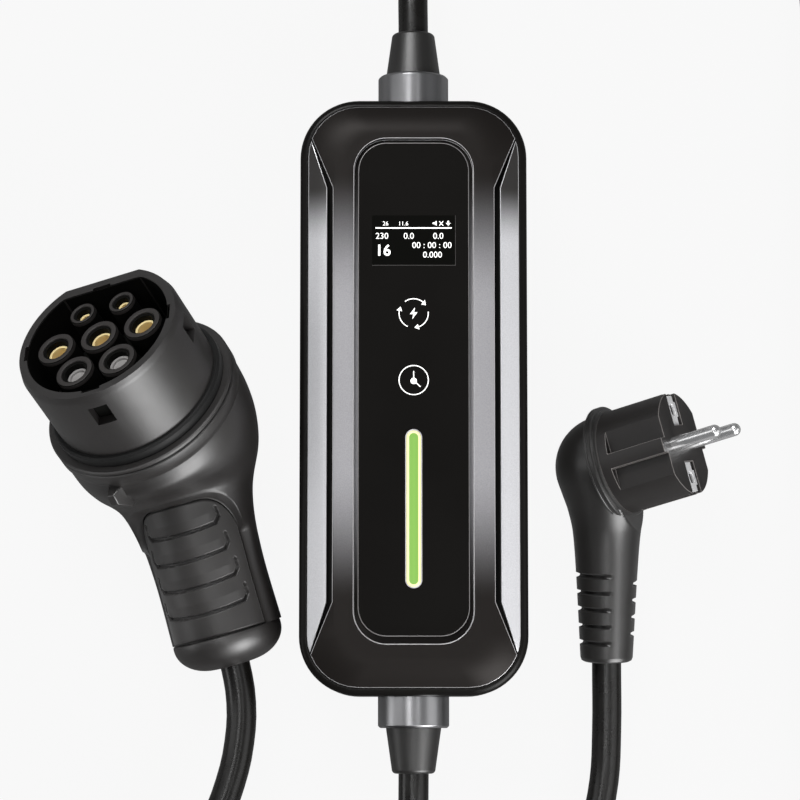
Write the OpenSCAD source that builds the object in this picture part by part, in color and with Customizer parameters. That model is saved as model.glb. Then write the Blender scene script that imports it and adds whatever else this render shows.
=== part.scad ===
// Portable car charging lead: a control box in the middle, an angled mains plug on one end and a
// pistol-grip vehicle connector on the other, laid out on a table. Millimetres, Z up.
// The origin is the centre of the control box's flat back, which lies on the table.

/* [Control box] */
// Width of the control box
box_w = 83; // [76:1:110]
// Length of the control box
box_l = 218; // [205:1:250]
// Thickness of the control box, up to the top of the face bezel
box_t = 46; // [43:1:60]
// Radius of the box's corners, seen from the front
corner_r = 21.5; // [17:0.5:26]
// Width of the dark rim round the face
rim_w = 3; // [2:0.5:4]
// Radius of the rounded outer edges of both shells
edge_r = 2.8; // [1:0.2:3.6]
// Wall of both shells
shell_wall = 2.6; // [2:0.1:3.4]
// Height of the rear cover
cover_h = 8; // [7:0.5:10]
// Height of the bezel above the front housing's face
bezel_h = 6; // [5:0.5:8]

/* [Face] */
// Width of the bright side trim at its middle
trim_w = 7; // [5:0.5:9]
// Width of the dark groove beside the trim
groove_w = 2.1; // [1.2:0.1:3]
// Distance from the face's end to the tip of the trim
trim_tip = 11.7; // [8:0.1:16]
// Distance from the face's end to the bend of the trim
trim_bend = 30.6; // [24:0.1:40]
// Width of the recess for the front panel
recess_w = 43.4; // [38:0.2:46]
// Length of the recess for the front panel
recess_l = 184; // [176:1:188]
// Radius of the recess's corners
recess_r = 12; // [8:0.5:16]
// Height of the recess's centre above the face's centre
recess_up = 1.5; // [0:0.5:3]
// Gap between the panel and the side of its recess
panel_gap = 1.5; // [0.8:0.1:2.5]
// Thickness of the front panel
panel_t = 2.4; // [1.6:0.2:3]
// How far the panel lies below the bezel's top
panel_drop = 0.8; // [0.3:0.1:1.5]
// Width of the light bar
bar_w = 5.2; // [4:0.2:8]
// Length of the light bar
bar_l = 56.5; // [40:0.5:70]
// Position of the light bar along the box
bar_y = -41.8; // [-50:0.2:-36]
// Width of the display
display_w = 30.2; // [24:0.2:32]
// Height of the display, along the box
display_l = 18.2; // [12:0.2:24]
// Position of the display along the box
display_y = 56; // [48:0.5:62]
// Position of the upper touch mark along the box
current_y = 29.2; // [24:0.2:34]
// Position of the lower touch mark along the box
delay_y = 4.8; // [0:0.2:10]
// Radius of a touch spring
spring_r = 4; // [3:0.1:5]

/* [Inside the box] */
// Width of the control board
board_w = 58; // [50:1:60]
// Length of the control board
board_l = 168; // [150:1:180]
// Thickness of both circuit boards
board_t = 1.6; // [1:0.1:2]
// Height of the posts under the control board
post_h = 4; // [3:0.5:6]
// Length of a power relay
relay_l = 29; // [24:1:32]
// Width of a power relay
relay_w = 13; // [10:0.5:16]
// Height of a power relay
relay_h = 17; // [12:0.5:18]
// Width of the supply transformer
transformer_w = 24; // [18:1:28]
// Outer radius of the current sensor
sensor_r = 13; // [10:0.5:14]
// Radius of the current sensor's opening
sensor_hole_r = 7; // [5:0.5:8]
// Radius of the buzzer
buzzer_r = 6; // [4:0.5:7]
// Radius of a case screw's shank
screw_r = 1.5; // [1:0.1:2]
// Length of a case screw under its head
screw_l = 16; // [12:0.5:18]
// Clearance round a screw in its pilot hole
screw_clear = 0.1; // [0.05:0.05:0.2]

/* [Cable glands] */
// Outer radius of the metal collar
collar_r = 13; // [11:0.5:14]
// Length of the metal collar outside the housing
collar_l = 11.5; // [8:0.5:14]
// Radius of the collar's threaded spigot
spigot_r = 10; // [9:0.2:10.4]
// Radius of the cable boot where it leaves the collar
boot_base_r = 10.1; // [9:0.1:10.8]
// Radius of the cable boot at its end
boot_end_r = 8; // [7:0.1:9]
// Length of the cable boot outside the collar
boot_l = 16.5; // [12:0.5:30]
// Diameter of both cables
cable_d = 11; // [9:0.2:12]

/* [Vehicle connector] */
// Diameter of the connector's barrel
barrel_d = 63; // [60:0.5:66]
// Length of the barrel in front of its seal
barrel_l = 30; // [26:1:36]
// Distance of the barrel's flat from its axis
flat_y = 26.9; // [25:0.1:28]
// Wall of the barrel
barrel_wall = 3.9; // [3:0.1:4.5]
// Radius where the flat meets the round of the barrel
flat_blend = 8; // [5:0.5:9]
// Distance between the contacts of the middle row
contact_pitch = 17; // [16.5:0.1:17.2]
// Height of the signal contacts' row above the middle row
signal_row = 14.3; // [14:0.1:14.8]
// Height of the lower row below the middle row
lower_row = 14.6; // [14.4:0.1:15]
// Distance between the two signal contacts
signal_pitch = 15.4; // [14:0.1:16.2]
// Distance between the two lower positions
lower_pitch = 16.6; // [16.4:0.1:17.2]
// Outer radius of a power sleeve
power_sleeve_r = 7.1; // [6.6:0.1:7.4]
// Outer radius of a signal sleeve
signal_sleeve_r = 4.9; // [4.4:0.1:5.2]
// Radius of the bore in a power contact
power_bore_r = 3; // [2.8:0.1:3.2]
// Radius of the bore in a signal contact
signal_bore_r = 1.5; // [1.3:0.1:1.7]
// Wall of every contact tube
contact_wall = 1; // [0.7:0.1:1.2]
// Depth from the sleeve's mouth to the contact
contact_depth = 3; // [2:0.5:6]
// Length of every contact tube
contact_l = 16; // [12:0.5:17]
// Length of a side window, along the barrel
window_l = 8.6; // [6:0.2:10]
// Width of a side window, round the barrel
window_w = 7.3; // [5:0.1:9]
// Angle between the barrel and the handle
bend_angle = 44; // [38:1:48]
// Radius of the bend's centre line
bend_r = 47; // [44:1:55]
// Radius of the locking ring behind the barrel
flange_r = 36.5; // [35.5:0.1:38]
// Length of the straight part of the handle
handle_l = 52; // [46:1:80]
// Half width of the grip insert, as an angle round the handle
grip_angle = 70; // [62:1:72]
// Radius of the grip's upper corners
grip_corner = 16; // [10:1:18]
// How far the elbow's rim stands over the top of the grip
rim_drop = 3.6; // [2:0.2:4.4]
// Thickness of the grip insert
grip_t = 2; // [1.6:0.1:2.6]
// How far the grip insert lies below the handle's surface
grip_drop = 1.4; // [0.8:0.1:2]
// Depth of the grooves in the grip insert
groove_d = 1; // [0.5:0.1:1.2]
// Distance between the grooves in the grip insert
groove_pitch = 10; // [8:0.5:11]
// Length of the rounded end cap
end_cap_l = 12; // [8:0.5:16]

/* [Mains plug] */
// Radius of the plug's body
plug_r = 19.3; // [19:0.1:19.6]
// Length of the plug's body in front of its flange
plug_l = 26; // [23:0.5:30]
// Radius of a mains pin
pin_r = 2.4; // [2.3:0.05:2.4]
// Length of a mains pin
pin_l = 19; // [18:0.5:20]
// Distance between the mains pins
pin_pitch = 19; // [18.6:0.1:19.2]
// Radius of the plug's flange
plug_flange_r = 21.8; // [21:0.2:23]
// Thickness of the plug's flange
plug_flange_t = 4; // [3:0.5:5]
// Radius of the rounded back of the plug
dome_r = 19; // [18:0.5:20]
// Length of the plug's neck from the middle of its rounded back
neck_l = 72; // [64:1:80]
// Radius of the neck at the cable
neck_end_r = 9.6; // [8.5:0.1:10.5]
// Tilt of the neck behind the plane square to the pins
neck_tilt = 17; // [10:1:25]
// Depth of the slots in the neck's strain relief
slot_d = 1.7; // [1:0.1:2.6]

/* [Lay of the parts] */
// Position of the connector's bend across the table
connector_x = -88.5; // [-110:0.5:-86]
// Position of the connector's bend along the table
connector_y = -19.5; // [-24:0.5:-10]
// Heading of the handle, turned from straight down the table
handle_heading = 15.8; // [12:0.2:17]
// Slope of the handle down to the table
handle_slope = 5.2; // [4:0.1:8]
// Roll of the connector towards its left side
connector_roll = 18; // [14:1:24]
// Position of the plug's rounded back across the table
plug_x = 71.5; // [68:0.5:80]
// Position of the plug's rounded back along the table
plug_y = -24.5; // [-30:0.5:-20]
// Roll of the plug's pins up from the table
plug_roll = 28; // [20:1:35]
// Number of turns side by side in the coil
coil_rows = 3; // [2:1:4]
// Number of layers in the coil
coil_layers = 3; // [2:1:4]
// Diameter of the coil at the middle of its turns
coil_d = 132; // [121:1:143]
// Width of the coil's tie
tie_w = 20; // [12:1:30]
// Thickness of the coil's tie
tie_t = 1.2; // [0.8:0.1:2]

/* [Hidden] */
$fn = 64;

// Colours, as the photo shows them
black = [0.09, 0.09, 0.09];
soft_black = [0.14, 0.14, 0.14];
graphite = [0.3, 0.29, 0.29];
silver = [0.72, 0.72, 0.74];
steel = [0.62, 0.62, 0.65];
gloss_black = [0.05, 0.05, 0.05];
board_green = [0.1, 0.35, 0.2];
gold = [0.85, 0.68, 0.3];
light_green = [0.55, 0.8, 0.3];
copper = [0.75, 0.45, 0.25];
grey = [0.45, 0.45, 0.45];

// Clearances between pieces that fit into each other
fit = 0.1;
eps = 0.01;

// Levels and outlines of the control box
face_z = box_t - bezel_h;
ceiling_z = face_z - shell_wall;
panel_top = box_t - panel_drop;
shelf_z = panel_top - panel_t;
inner_w = box_w - 2 * shell_wall;
inner_l = box_l - 2 * shell_wall;
inner_r = corner_r - shell_wall;
crown_w = box_w - 2 * rim_w;
crown_l = box_l - 2 * rim_w;
crown_r = corner_r - rim_w;
panel_w = recess_w - 2 * panel_gap;
panel_l = recess_l - 2.8 * panel_gap;
panel_r = recess_r - panel_gap;
panel_y = recess_up + 0.4 * panel_gap;
window_side = 5;
window_r = 6;
well_w = recess_w - 2 * window_side;
well_l = recess_l - 3 * window_side;

// The outline of the side trim and of the pocket that holds it
tip_y = crown_l / 2 - trim_tip;
bend_y = crown_l / 2 - trim_bend;
tip_clear = 0.6;
function crown_edge_x(y) = let (cy = crown_l / 2 - crown_r, dy = max(0, abs(y) - cy))
    crown_w / 2 - crown_r + sqrt(max(0, crown_r * crown_r - dy * dy));
function side_outline(inner_x, top) = [
    [crown_edge_x(top), top],
    [inner_x, bend_y],
    [inner_x, -bend_y],
    [crown_edge_x(top), -top],
    [crown_w / 2 + rim_w, -top],
    [crown_w / 2 + rim_w, top]
];

// Case screws, board posts and what stands on the boards
boss_r = 4.2;
head_r = 3;
head_h = 2.2;
head_seat = 3.2;
screw_x = box_w / 2 - shell_wall - boss_r + 0.6;
corner_screw_x = box_w / 2 - 12.5;
corner_screw_y = box_l / 2 - 15;
screw_spots = [
    for (sx = [-1, 1]) [sx * screw_x, 0],
    for (sx = [-1, 1], sy = [-1, 1]) [sx * corner_screw_x, sy * corner_screw_y]
];
floor_z = shell_wall;
seal_w = 1.2;
seal_d = 1.2;
post_r = 3;
board_screw_r = 1.25;
post_spots = [for (sx = [-1, 1], sy = [-1, 1]) [sx * (board_w / 2 - 4), sy * (board_l / 2 - 4)]];
board_z = floor_z + post_h;
deck_z = board_z + board_t;
display_board_w = 44;
display_board_l = 146;
display_board_y = recess_up;
display_board_z = ceiling_z - 3;
peg_spots = [
    for (sx = [-1, 1], sy = [-1, 1])
        [sx * (display_board_w / 2 - 2.6), display_board_y + sy * (display_board_l / 2 - 2.6)]
];

// Glands: the hole in the housing's end wall, half way up the front housing
gland_z = (cover_h + face_z) / 2;
wall_end = box_l / 2;
boot_tail = 3;
nut_t = 4;
spigot_l = shell_wall + nut_t + 1;
boot_tip_y = wall_end + collar_l + boot_l;
cable_r = cable_d / 2;

function unit(v) = v / norm(v);
function clamp(v, low, high) = min(max(v, low), high);

// A closed solid through a list of rings with the same number of points
module loft(rings) {
    n = len(rings[0]);
    m = len(rings);
    points = [for (ring = rings) each ring];
    sides = [
        for (i = [0:m - 2], j = [0:n - 1])
            let (a = i * n + j, b = i * n + (j + 1) % n, c = a + n, d = b + n)
                each [[a, c, b], [b, c, d]]
    ];
    bottom = [for (j = [0:n - 1]) j];
    top = [for (j = [n - 1:-1:0]) (m - 1) * n + j];
    polyhedron(points, concat(sides, [bottom], [top]), convexity = 6);
}

// Rounded rectangle with true arcs, centred
module rounded_rect(w, l, r) {
    square([w - 2 * r, l], center = true);
    square([w, l - 2 * r], center = true);
    for (sx = [-1, 1], sy = [-1, 1])
        translate([sx * (w / 2 - r), sy * (l / 2 - r)]) circle(r);
}

module slab(w, l, r, h) {
    linear_extrude(h) rounded_rect(w, l, r);
}

// Sweeps a section round a rounded rectangle; its X is the distance out from the outline
module around_outline(w, l, r) {
    for (turn = [0, 180]) rotate(turn) {
        rotate([90, 0, 0]) linear_extrude(l - 2 * r, center = true)
            translate([w / 2, 0]) children();
        rotate(90) rotate([90, 0, 0]) linear_extrude(w - 2 * r, center = true)
            translate([l / 2, 0]) children();
        translate([w / 2 - r, l / 2 - r]) rotate_extrude(angle = 90)
            translate([r, 0]) children();
        translate([w / 2 - r, r - l / 2]) rotate(-90) rotate_extrude(angle = 90)
            translate([r, 0]) children();
    }
}

// What is cut off an upper outer edge to round it, with the edge's corner at the origin
module edge_cut(r) {
    difference() {
        translate([-r, -r]) square(r + 1);
        translate([-r, -r]) circle(r);
    }
}

// Rounded rectangle as a ring of points, for lofts
function rect_ring(w, l, r, z, steps = 8) = [
    for (corner = [0:3], i = [0:steps])
        let (a = 90 * (corner + i / steps),
             cx = (corner == 0 || corner == 3 ? 1 : -1) * (w / 2 - r),
             cy = (corner < 2 ? 1 : -1) * (l / 2 - r))
            [cx + r * cos(a), cy + r * sin(a), z]
];

// The crowned form of the face, which bezel and side trims share
module crown() {
    loft([
        rect_ring(crown_w, crown_l, crown_r, face_z),
        rect_ring(crown_w, crown_l, crown_r, face_z + 0.18 * bezel_h),
        rect_ring(crown_w - 9, crown_l - 7, crown_r - 3, face_z + 0.62 * bezel_h),
        rect_ring(crown_w - 20, crown_l - 15, crown_r - 6, face_z + 0.92 * bezel_h),
        rect_ring(crown_w - 29, crown_l - 22, crown_r - 8, face_z + bezel_h)
    ]);
}

module rear_cover() {
    color(soft_black) difference() {
        union() {
            difference() {
                slab(box_w, box_l, corner_r, cover_h);
                translate([0, 0, floor_z]) slab(inner_w, inner_l, inner_r, cover_h);
                mirror([0, 0, 1]) around_outline(box_w, box_l, corner_r) edge_cut(edge_r);
            }
            for (spot = screw_spots) translate(spot) cylinder(cover_h, r = boss_r);
            for (spot = post_spots) translate(spot) cylinder(board_z, r = post_r);
        }
        for (spot = screw_spots) translate(spot) {
            translate([0, 0, -1]) cylinder(cover_h + 2, r = screw_r + 2 * screw_clear);
            translate([0, 0, -1]) cylinder(head_seat + 1, r = head_r + 2 * screw_clear);
        }
        for (spot = post_spots) translate([spot.x, spot.y, floor_z])
            cylinder(board_z, r = board_screw_r + screw_clear);
        translate([0, 0, cover_h - seal_d]) around_outline(box_w, box_l, corner_r)
            translate([-(shell_wall + seal_w) / 2, 0]) square([seal_w, seal_d + 1]);
    }
}

module housing_seal() {
    color(black) translate([0, 0, cover_h - seal_d]) around_outline(box_w, box_l, corner_r)
        translate([-(shell_wall + seal_w) / 2, 0]) square([seal_w, seal_d]);
}

module front_housing() {
    boss_h = ceiling_z - cover_h;
    color(black) difference() {
        union() {
            difference() {
                translate([0, 0, cover_h]) slab(box_w, box_l, corner_r, face_z - cover_h);
                translate([0, 0, cover_h - 1])
                    slab(inner_w, inner_l, inner_r, ceiling_z - cover_h + 1);
                translate([0, 0, face_z]) around_outline(box_w, box_l, corner_r)
                    edge_cut(edge_r);
            }
            for (spot = screw_spots) translate([spot.x, spot.y, cover_h])
                cylinder(boss_h + eps, r = boss_r);
            for (spot = peg_spots) translate([spot.x, spot.y, display_board_z + board_t])
                cylinder(ceiling_z - display_board_z - board_t + eps, r = 2);
        }
        for (spot = screw_spots) translate([spot.x, spot.y, cover_h - 1])
            cylinder(head_seat + screw_l - cover_h + 3, r = screw_r + screw_clear);
        for (side = [-1, 1]) translate([0, side * wall_end, gland_z]) rotate([90, 0, 0])
            cylinder(4 * shell_wall, r = spigot_r + fit, center = true);
        translate([0, recess_up, ceiling_z - 1]) slab(well_w - 1, well_l - 1, window_r, 10);
    }
}

module case_screws() {
    color(steel) for (spot = screw_spots) translate(spot) {
        translate([0, 0, head_seat - head_h]) difference() {
            cylinder(head_h, r = head_r);
            translate([0, 0, -eps]) cylinder(1.2, r = 1.3, $fn = 6);
        }
        translate([0, 0, head_seat]) cylinder(screw_l, r = screw_r);
    }
}

module face_bezel() {
    color(graphite) difference() {
        crown();
        for (side = [0, 1]) mirror([side, 0, 0]) translate([0, 0, face_z - 1])
            linear_extrude(bezel_h + 2)
                polygon(side_outline(crown_w / 2 - trim_w - groove_w, tip_y));
        translate([0, recess_up, shelf_z]) slab(recess_w, recess_l, recess_r, box_t);
        translate([0, recess_up, face_z - 1]) slab(well_w, well_l, window_r, box_t);
    }
}

module side_trim() {
    color(silver) intersection() {
        crown();
        translate([0, 0, face_z - 1]) linear_extrude(bezel_h + 2)
            polygon(side_outline(crown_w / 2 - trim_w, tip_y - tip_clear));
    }
}

module side_trim_left() {
    mirror([1, 0, 0]) side_trim();
}

module side_trim_right() {
    side_trim();
}

// A bar with round ends along Y
module long_bar(w, l, h) {
    linear_extrude(h) {
        square([w, l - w], center = true);
        for (side = [-1, 1]) translate([0, side * (l - w) / 2]) circle(w / 2);
    }
}

module front_panel() {
    color(gloss_black) difference() {
        translate([0, panel_y, shelf_z]) slab(panel_w, panel_l, panel_r, panel_t);
        translate([0, bar_y, shelf_z - 1]) long_bar(bar_w + 2 * fit, bar_l + 2 * fit, box_t);
    }
}

module light_guide() {
    color(light_green) translate([0, bar_y, display_board_z + board_t])
        long_bar(bar_w, bar_l, panel_top + 0.3 - display_board_z - board_t);
}

module display_module() {
    color(black) translate([-display_w / 2, display_y - display_l / 2, display_board_z + board_t])
        cube([display_w, display_l, shelf_z - display_board_z - board_t]);
}

// Flat-topped coil springs that carry touch through the panel, drawn as cups
module touch_springs() {
    h = shelf_z - display_board_z - board_t;
    color(copper) for (y = [current_y, delay_y]) translate([0, y, display_board_z + board_t])
        difference() {
            cylinder(h, r = spring_r);
            translate([0, 0, -eps]) cylinder(h - 0.6, r = spring_r - 0.8);
        }
}

module display_board() {
    color(board_green) difference() {
        translate([-display_board_w / 2, display_board_y - display_board_l / 2, display_board_z])
            cube([display_board_w, display_board_l, board_t]);
        for (spot = peg_spots) translate([spot.x, spot.y, display_board_z - 1])
            cylinder(board_t + 2, r = 0.8);
    }
}

module control_board() {
    color(board_green) difference() {
        translate([-board_w / 2, -board_l / 2, board_z]) cube([board_w, board_l, board_t]);
        for (spot = post_spots) translate([spot.x, spot.y, board_z - 1])
            cylinder(board_t + 2, r = board_screw_r + screw_clear);
    }
}

module board_screws() {
    color(steel) for (spot = post_spots) translate([spot.x, spot.y, 0]) {
        translate([0, 0, floor_z + 0.6]) cylinder(deck_z - floor_z - 0.6, r = board_screw_r);
        translate([0, 0, deck_z]) cylinder(1.4, r1 = 2.3, r2 = 1.8);
    }
}

// Two relays side by side at the cable that goes to the vehicle
module power_relays() {
    color(black) for (side = [-1, 1])
        translate([side * (relay_w / 2 + 2) - relay_w / 2, -board_l / 2 + 14, deck_z])
            cube([relay_w, relay_l, relay_h]);
}

module supply_transformer() {
    color([0.75, 0.65, 0.2]) translate([4 - board_w / 2, 18, deck_z]) {
        cube([transformer_w, transformer_w - 3, 5]);
        translate([3, 0, 5]) cube([transformer_w - 6, transformer_w - 3, 10]);
        translate([0, 0, 15]) cube([transformer_w, transformer_w - 3, 3]);
    }
}

// The ring that both live wires pass through, standing on the board
module current_sensor() {
    color([0.15, 0.2, 0.45]) translate([0, -14, deck_z + sensor_r]) rotate([90, 0, 0])
        difference() {
            union() {
                cylinder(10, r = sensor_r, center = true);
                translate([-sensor_r, -sensor_r, -5]) cube([2 * sensor_r, 5, 10]);
            }
            cylinder(12, r = sensor_hole_r, center = true);
        }
}

module buzzer() {
    color(black) translate([board_w / 2 - 14, 50, deck_z]) difference() {
        cylinder(8, r = buzzer_r);
        translate([0, 0, 6]) cylinder(3, r = 1.2);
    }
}

// Both glands lie along Y; the lower one is the upper one turned round
module at_gland(side) {
    translate([0, side * wall_end, gland_z]) rotate([-90 * side, 0, 0]) children();
}

module gland_collar() {
    bevel = 0.8;
    color(steel) rotate_extrude() polygon([
        [boot_end_r + fit, -spigot_l],
        [spigot_r, -spigot_l],
        [spigot_r, 0],
        [collar_r, 0],
        [collar_r, collar_l - bevel],
        [collar_r - bevel, collar_l],
        [boot_end_r + fit, collar_l]
    ]);
}

module cable_boot() {
    round_r = 1.6;
    color(soft_black) rotate_extrude() {
        polygon([
            [0, collar_l - boot_tail],
            [boot_end_r, collar_l - boot_tail],
            [boot_end_r, collar_l],
            [boot_base_r, collar_l],
            [boot_end_r, collar_l + boot_l - round_r],
            [boot_end_r - round_r, collar_l + boot_l],
            [0, collar_l + boot_l]
        ]);
        translate([boot_end_r - round_r, collar_l + boot_l - round_r])
            intersection() {
                circle(round_r);
                square(round_r);
            }
    }
}

module top_gland_collar() {
    at_gland(1) gland_collar();
}

module bottom_gland_collar() {
    at_gland(-1) gland_collar();
}

module top_cable_boot() {
    at_gland(1) cable_boot();
}

module bottom_cable_boot() {
    at_gland(-1) cable_boot();
}

module gland_nuts() {
    color(steel) for (side = [-1, 1]) at_gland(side) translate([0, 0, -shell_wall - nut_t])
        difference() {
            cylinder(nut_t, r = spigot_r + 3.4, $fn = 6);
            translate([0, 0, -1]) cylinder(nut_t + 2, r = spigot_r + fit);
        }
}

// Frame of the connector: h runs down the handle, e towards the fingers, a out of the face
heading_v = [sin(handle_heading), -cos(handle_heading), 0];
handle_v = [
    heading_v.x * cos(handle_slope),
    heading_v.y * cos(handle_slope),
    -sin(handle_slope)
];
lift_v = unit([0, 0, 1] + handle_v * sin(handle_slope));
left_v = cross(heading_v, [0, 0, 1]);
finger_v = lift_v * cos(connector_roll) + left_v * sin(connector_roll);
axis_v = -handle_v * cos(bend_angle) + finger_v * sin(bend_angle);
up_v = -(handle_v + axis_v * cos(bend_angle)) / sin(bend_angle);
right_v = cross(up_v, axis_v);

// Spine of the connector's body, in the barrel's own frame, from the locking ring to the cap
ring_z = -barrel_l - 4;
flange_l = 8;
spine_z = ring_z - flange_l + 1;
arc_start = 3;
arc_l = bend_r * bend_angle * PI / 180;
arc_end = arc_start + arc_l;
spine_l = arc_end + handle_l;
function spine_turn(s) = clamp((s - arc_start) / arc_l, 0, 1) * bend_angle;
function spine_at(s) = let (t = spine_turn(s), past = max(0, s - arc_end))
    [0, bend_r * (cos(t) - 1), spine_z - min(s, arc_start) - bend_r * sin(t)]
    + past * [0, -sin(t), -cos(t)];
function finger_at(s) = let (t = spine_turn(s)) [0, -cos(t), sin(t)];

// Half widths of the body along its spine: distance, at the side, at the fingers, at the back
ring_r = flange_r - 0.7;
handle_r = 20.3;
body_form = [
    [0, ring_r, ring_r, ring_r],
    [6, ring_r, ring_r + 0.4, ring_r - 0.3],
    [14, ring_r - 0.6, ring_r + 0.6, ring_r - 1.4],
    [21, ring_r - 2, ring_r - 0.2, ring_r - 3.6],
    [26, ring_r - 3.6, ring_r - 1.6, ring_r - 5.8],
    [30, ring_r - 5.2, ring_r - 3, ring_r - 8],
    [33, ring_r - 7, ring_r - 5.6, ring_r - 9.6],
    [36, handle_r + 6.4, handle_r + 7.2, handle_r + 4.4],
    [arc_end, handle_r + 4.6, handle_r + 5.2, handle_r + 3],
    [arc_end + 4, handle_r + 3.4, handle_r + 3.6, handle_r + 2],
    [arc_end + 9, handle_r + 2.2, handle_r + 2.2, handle_r + 1.1],
    [arc_end + 18, handle_r + 1, handle_r + 0.6, handle_r + 0.2],
    [spine_l - 20, handle_r + 0.4, handle_r, handle_r],
    [spine_l, handle_r + 0.7, handle_r + 0.2, handle_r + 0.6]
];
function form_at(s, i = 0) = i >= len(body_form) - 2 || s <= body_form[i + 1][0]
    ? let (low = body_form[i], high = body_form[i + 1])
        low + (high - low) * (s - low[0]) / (high[0] - low[0])
    : form_at(s, i + 1);

// The grip: its edges round the handle and along the spine, and the flank down to it
flank_angle = 9;
flank_l = 1.8;
grip_start = arc_end + 2;
rim_fade = 26;
shift_start = 20;
shift_end = grip_start + 40;
grip_shares = [0.1, 0.2, 0.3, 0.4, 0.5, 0.6, 0.7, 0.76, 0.82, 0.88, 0.93, 0.97, 1];
grip_spread = concat([for (i = [len(grip_shares) - 1:-1:0]) -grip_shares[i]], [0], grip_shares);
back_steps = 14;
back_open = 360 - 2 * (grip_angle + flank_angle);
body_angles = concat(
    [-grip_angle - flank_angle, -grip_angle - 0.3],
    grip_spread * grip_angle,
    [grip_angle + 0.3, grip_angle + flank_angle],
    [for (i = [1:back_steps - 1]) grip_angle + flank_angle + back_open * i / back_steps]
);
function off_grip(angle) = abs(angle > 180 ? angle - 360 : angle);
function flank_share(angle) =
    clamp((grip_angle + flank_angle - off_grip(angle)) / (flank_angle - 0.3), 0, 1);
function in_pocket(angle) = off_grip(angle) <= grip_angle + eps;
// How far the grip's upper edge lies down the handle at an angle, which rounds its corners
function corner_bow(angle) = let (
    inside = (grip_angle - off_grip(angle)) * (handle_r + 1.7) * PI / 180,
    over = clamp(grip_corner - inside, 0, grip_corner),
    fade = 1 - clamp((off_grip(angle) - grip_angle - flank_angle) / 50, 0, 1))
    fade * (grip_corner - sqrt(grip_corner * grip_corner - over * over));
function bowed(s, angle) = s + corner_bow(angle) * (s < grip_start
    ? clamp((s - shift_start) / (grip_start - shift_start), 0, 1)
    : clamp((shift_end - s) / (shift_end - grip_start), 0, 1));
function drop_at(s) = grip_drop + rim_drop * pow(1 - clamp((s - grip_start) / rim_fade, 0, 1), 2);
function skin_point(s, angle, sink) = let (f = form_at(s),
    reach = cos(angle) > 0 ? f[2] : f[3])
    spine_at(s) + finger_at(s) * cos(angle) * (reach - sink)
    - [1, 0, 0] * sin(angle) * (f[1] - sink);
// share: how far down the flank this ring is; deep: whether the pocket's floor is in it
function body_ring(s, share, deep) = [
    for (angle = body_angles) let (at = bowed(s, angle))
        skin_point(at, angle, drop_at(at) * share * flank_share(angle)
            + (deep && in_pocket(angle) ? grip_t : 0))
];
plain_stations = [0, 3, 6, 10, 14, 18, 21, 24, 27, 30, 33, 36];
grip_rings = 12;
body_rings = concat(
    [for (s = plain_stations) body_ring(s, 0, false)],
    [
        body_ring(grip_start - flank_l, 0, false),
        body_ring(grip_start, 1, false),
        body_ring(grip_start, 1, true)
    ],
    [for (i = [1:grip_rings]) body_ring(grip_start + (spine_l - grip_start) * i / grip_rings, 1, true)]
);

// The connector lies with its lowest skin point on the table
function to_table(p) = right_v * p.x + up_v * p.y + axis_v * p.z;
bend_mid = spine_at(arc_start + arc_l / 2);
skin_low = min([for (ring = body_rings, p = ring) to_table(p - bend_mid).z]);
connector_o = [connector_x, connector_y, -skin_low] - to_table(bend_mid);

module in_connector() {
    multmatrix([
        [right_v.x, up_v.x, axis_v.x, connector_o.x],
        [right_v.y, up_v.y, axis_v.y, connector_o.y],
        [right_v.z, up_v.z, axis_v.z, connector_o.z],
        [0, 0, 0, 1]
    ]) children();
}

// The barrel's outline: a circle with a flat on top, blended by two small arcs
module flat_circle(r, flat, blend) {
    cx = sqrt(pow(r - blend, 2) - pow(flat - blend, 2));
    cy = flat - blend;
    tx = cx * r / (r - blend);
    ty = cy * r / (r - blend);
    difference() {
        circle(r);
        translate([-r, ty]) square([2 * r, 2 * r]);
    }
    polygon([[-tx, ty], [tx, ty], [cx, flat], [-cx, flat]]);
    for (side = [-1, 1]) translate([side * cx, cy]) circle(blend);
}

cavity_r = barrel_d / 2 - barrel_wall;
cavity_flat = flat_y - barrel_wall;
sleeve_top = -1.5;
carrier_floor = -barrel_l + 6;
carrier_gap = 0.2;

module connector_barrel() {
    nick = 1;
    nick_w = 7;
    bevel_l = 3;
    color(soft_black) in_connector() difference() {
        intersection() {
            translate([0, 0, -barrel_l]) linear_extrude(barrel_l)
                flat_circle(barrel_d / 2, flat_y, flat_blend);
            rotate_extrude() polygon([
                [0, -barrel_l],
                [barrel_d / 2 + 1, -barrel_l],
                [barrel_d / 2 + 1, -bevel_l],
                [barrel_d / 2, -bevel_l],
                [barrel_d / 2 - 0.9, 0],
                [0, 0]
            ]);
        }
        translate([0, 0, -barrel_l - 1]) linear_extrude(barrel_l + 2)
            flat_circle(cavity_r, cavity_flat, flat_blend - barrel_wall / 2);
        for (turn = [0, 180, 270]) rotate(turn)
            translate([cavity_r - 2, -window_w / 2, -10 - window_l / 2])
                cube([barrel_wall + 4, window_w, window_l]);
        for (turn = [0, 180, 270]) rotate(turn)
            translate([cavity_r - nick, -nick_w / 2, -4]) cube([2 * nick, nick_w, 5]);
        translate([-nick_w / 2, cavity_flat - nick, -4]) cube([nick_w, 2 * nick, 5]);
    }
}

power_spots = [for (i = [-1:1]) [i * contact_pitch, 0]];
signal_spots = [for (i = [-1, 1]) [i * signal_pitch / 2, signal_row]];
blank_spots = [for (i = [-1, 1]) [i * lower_pitch / 2, -lower_row]];
mouth_r = power_bore_r + contact_wall + fit;
signal_mouth_r = signal_bore_r + contact_wall + fit;
contact_top = sleeve_top - contact_depth;
mouth_ledge = 0.9;
mouth_step = 0.8;

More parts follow.
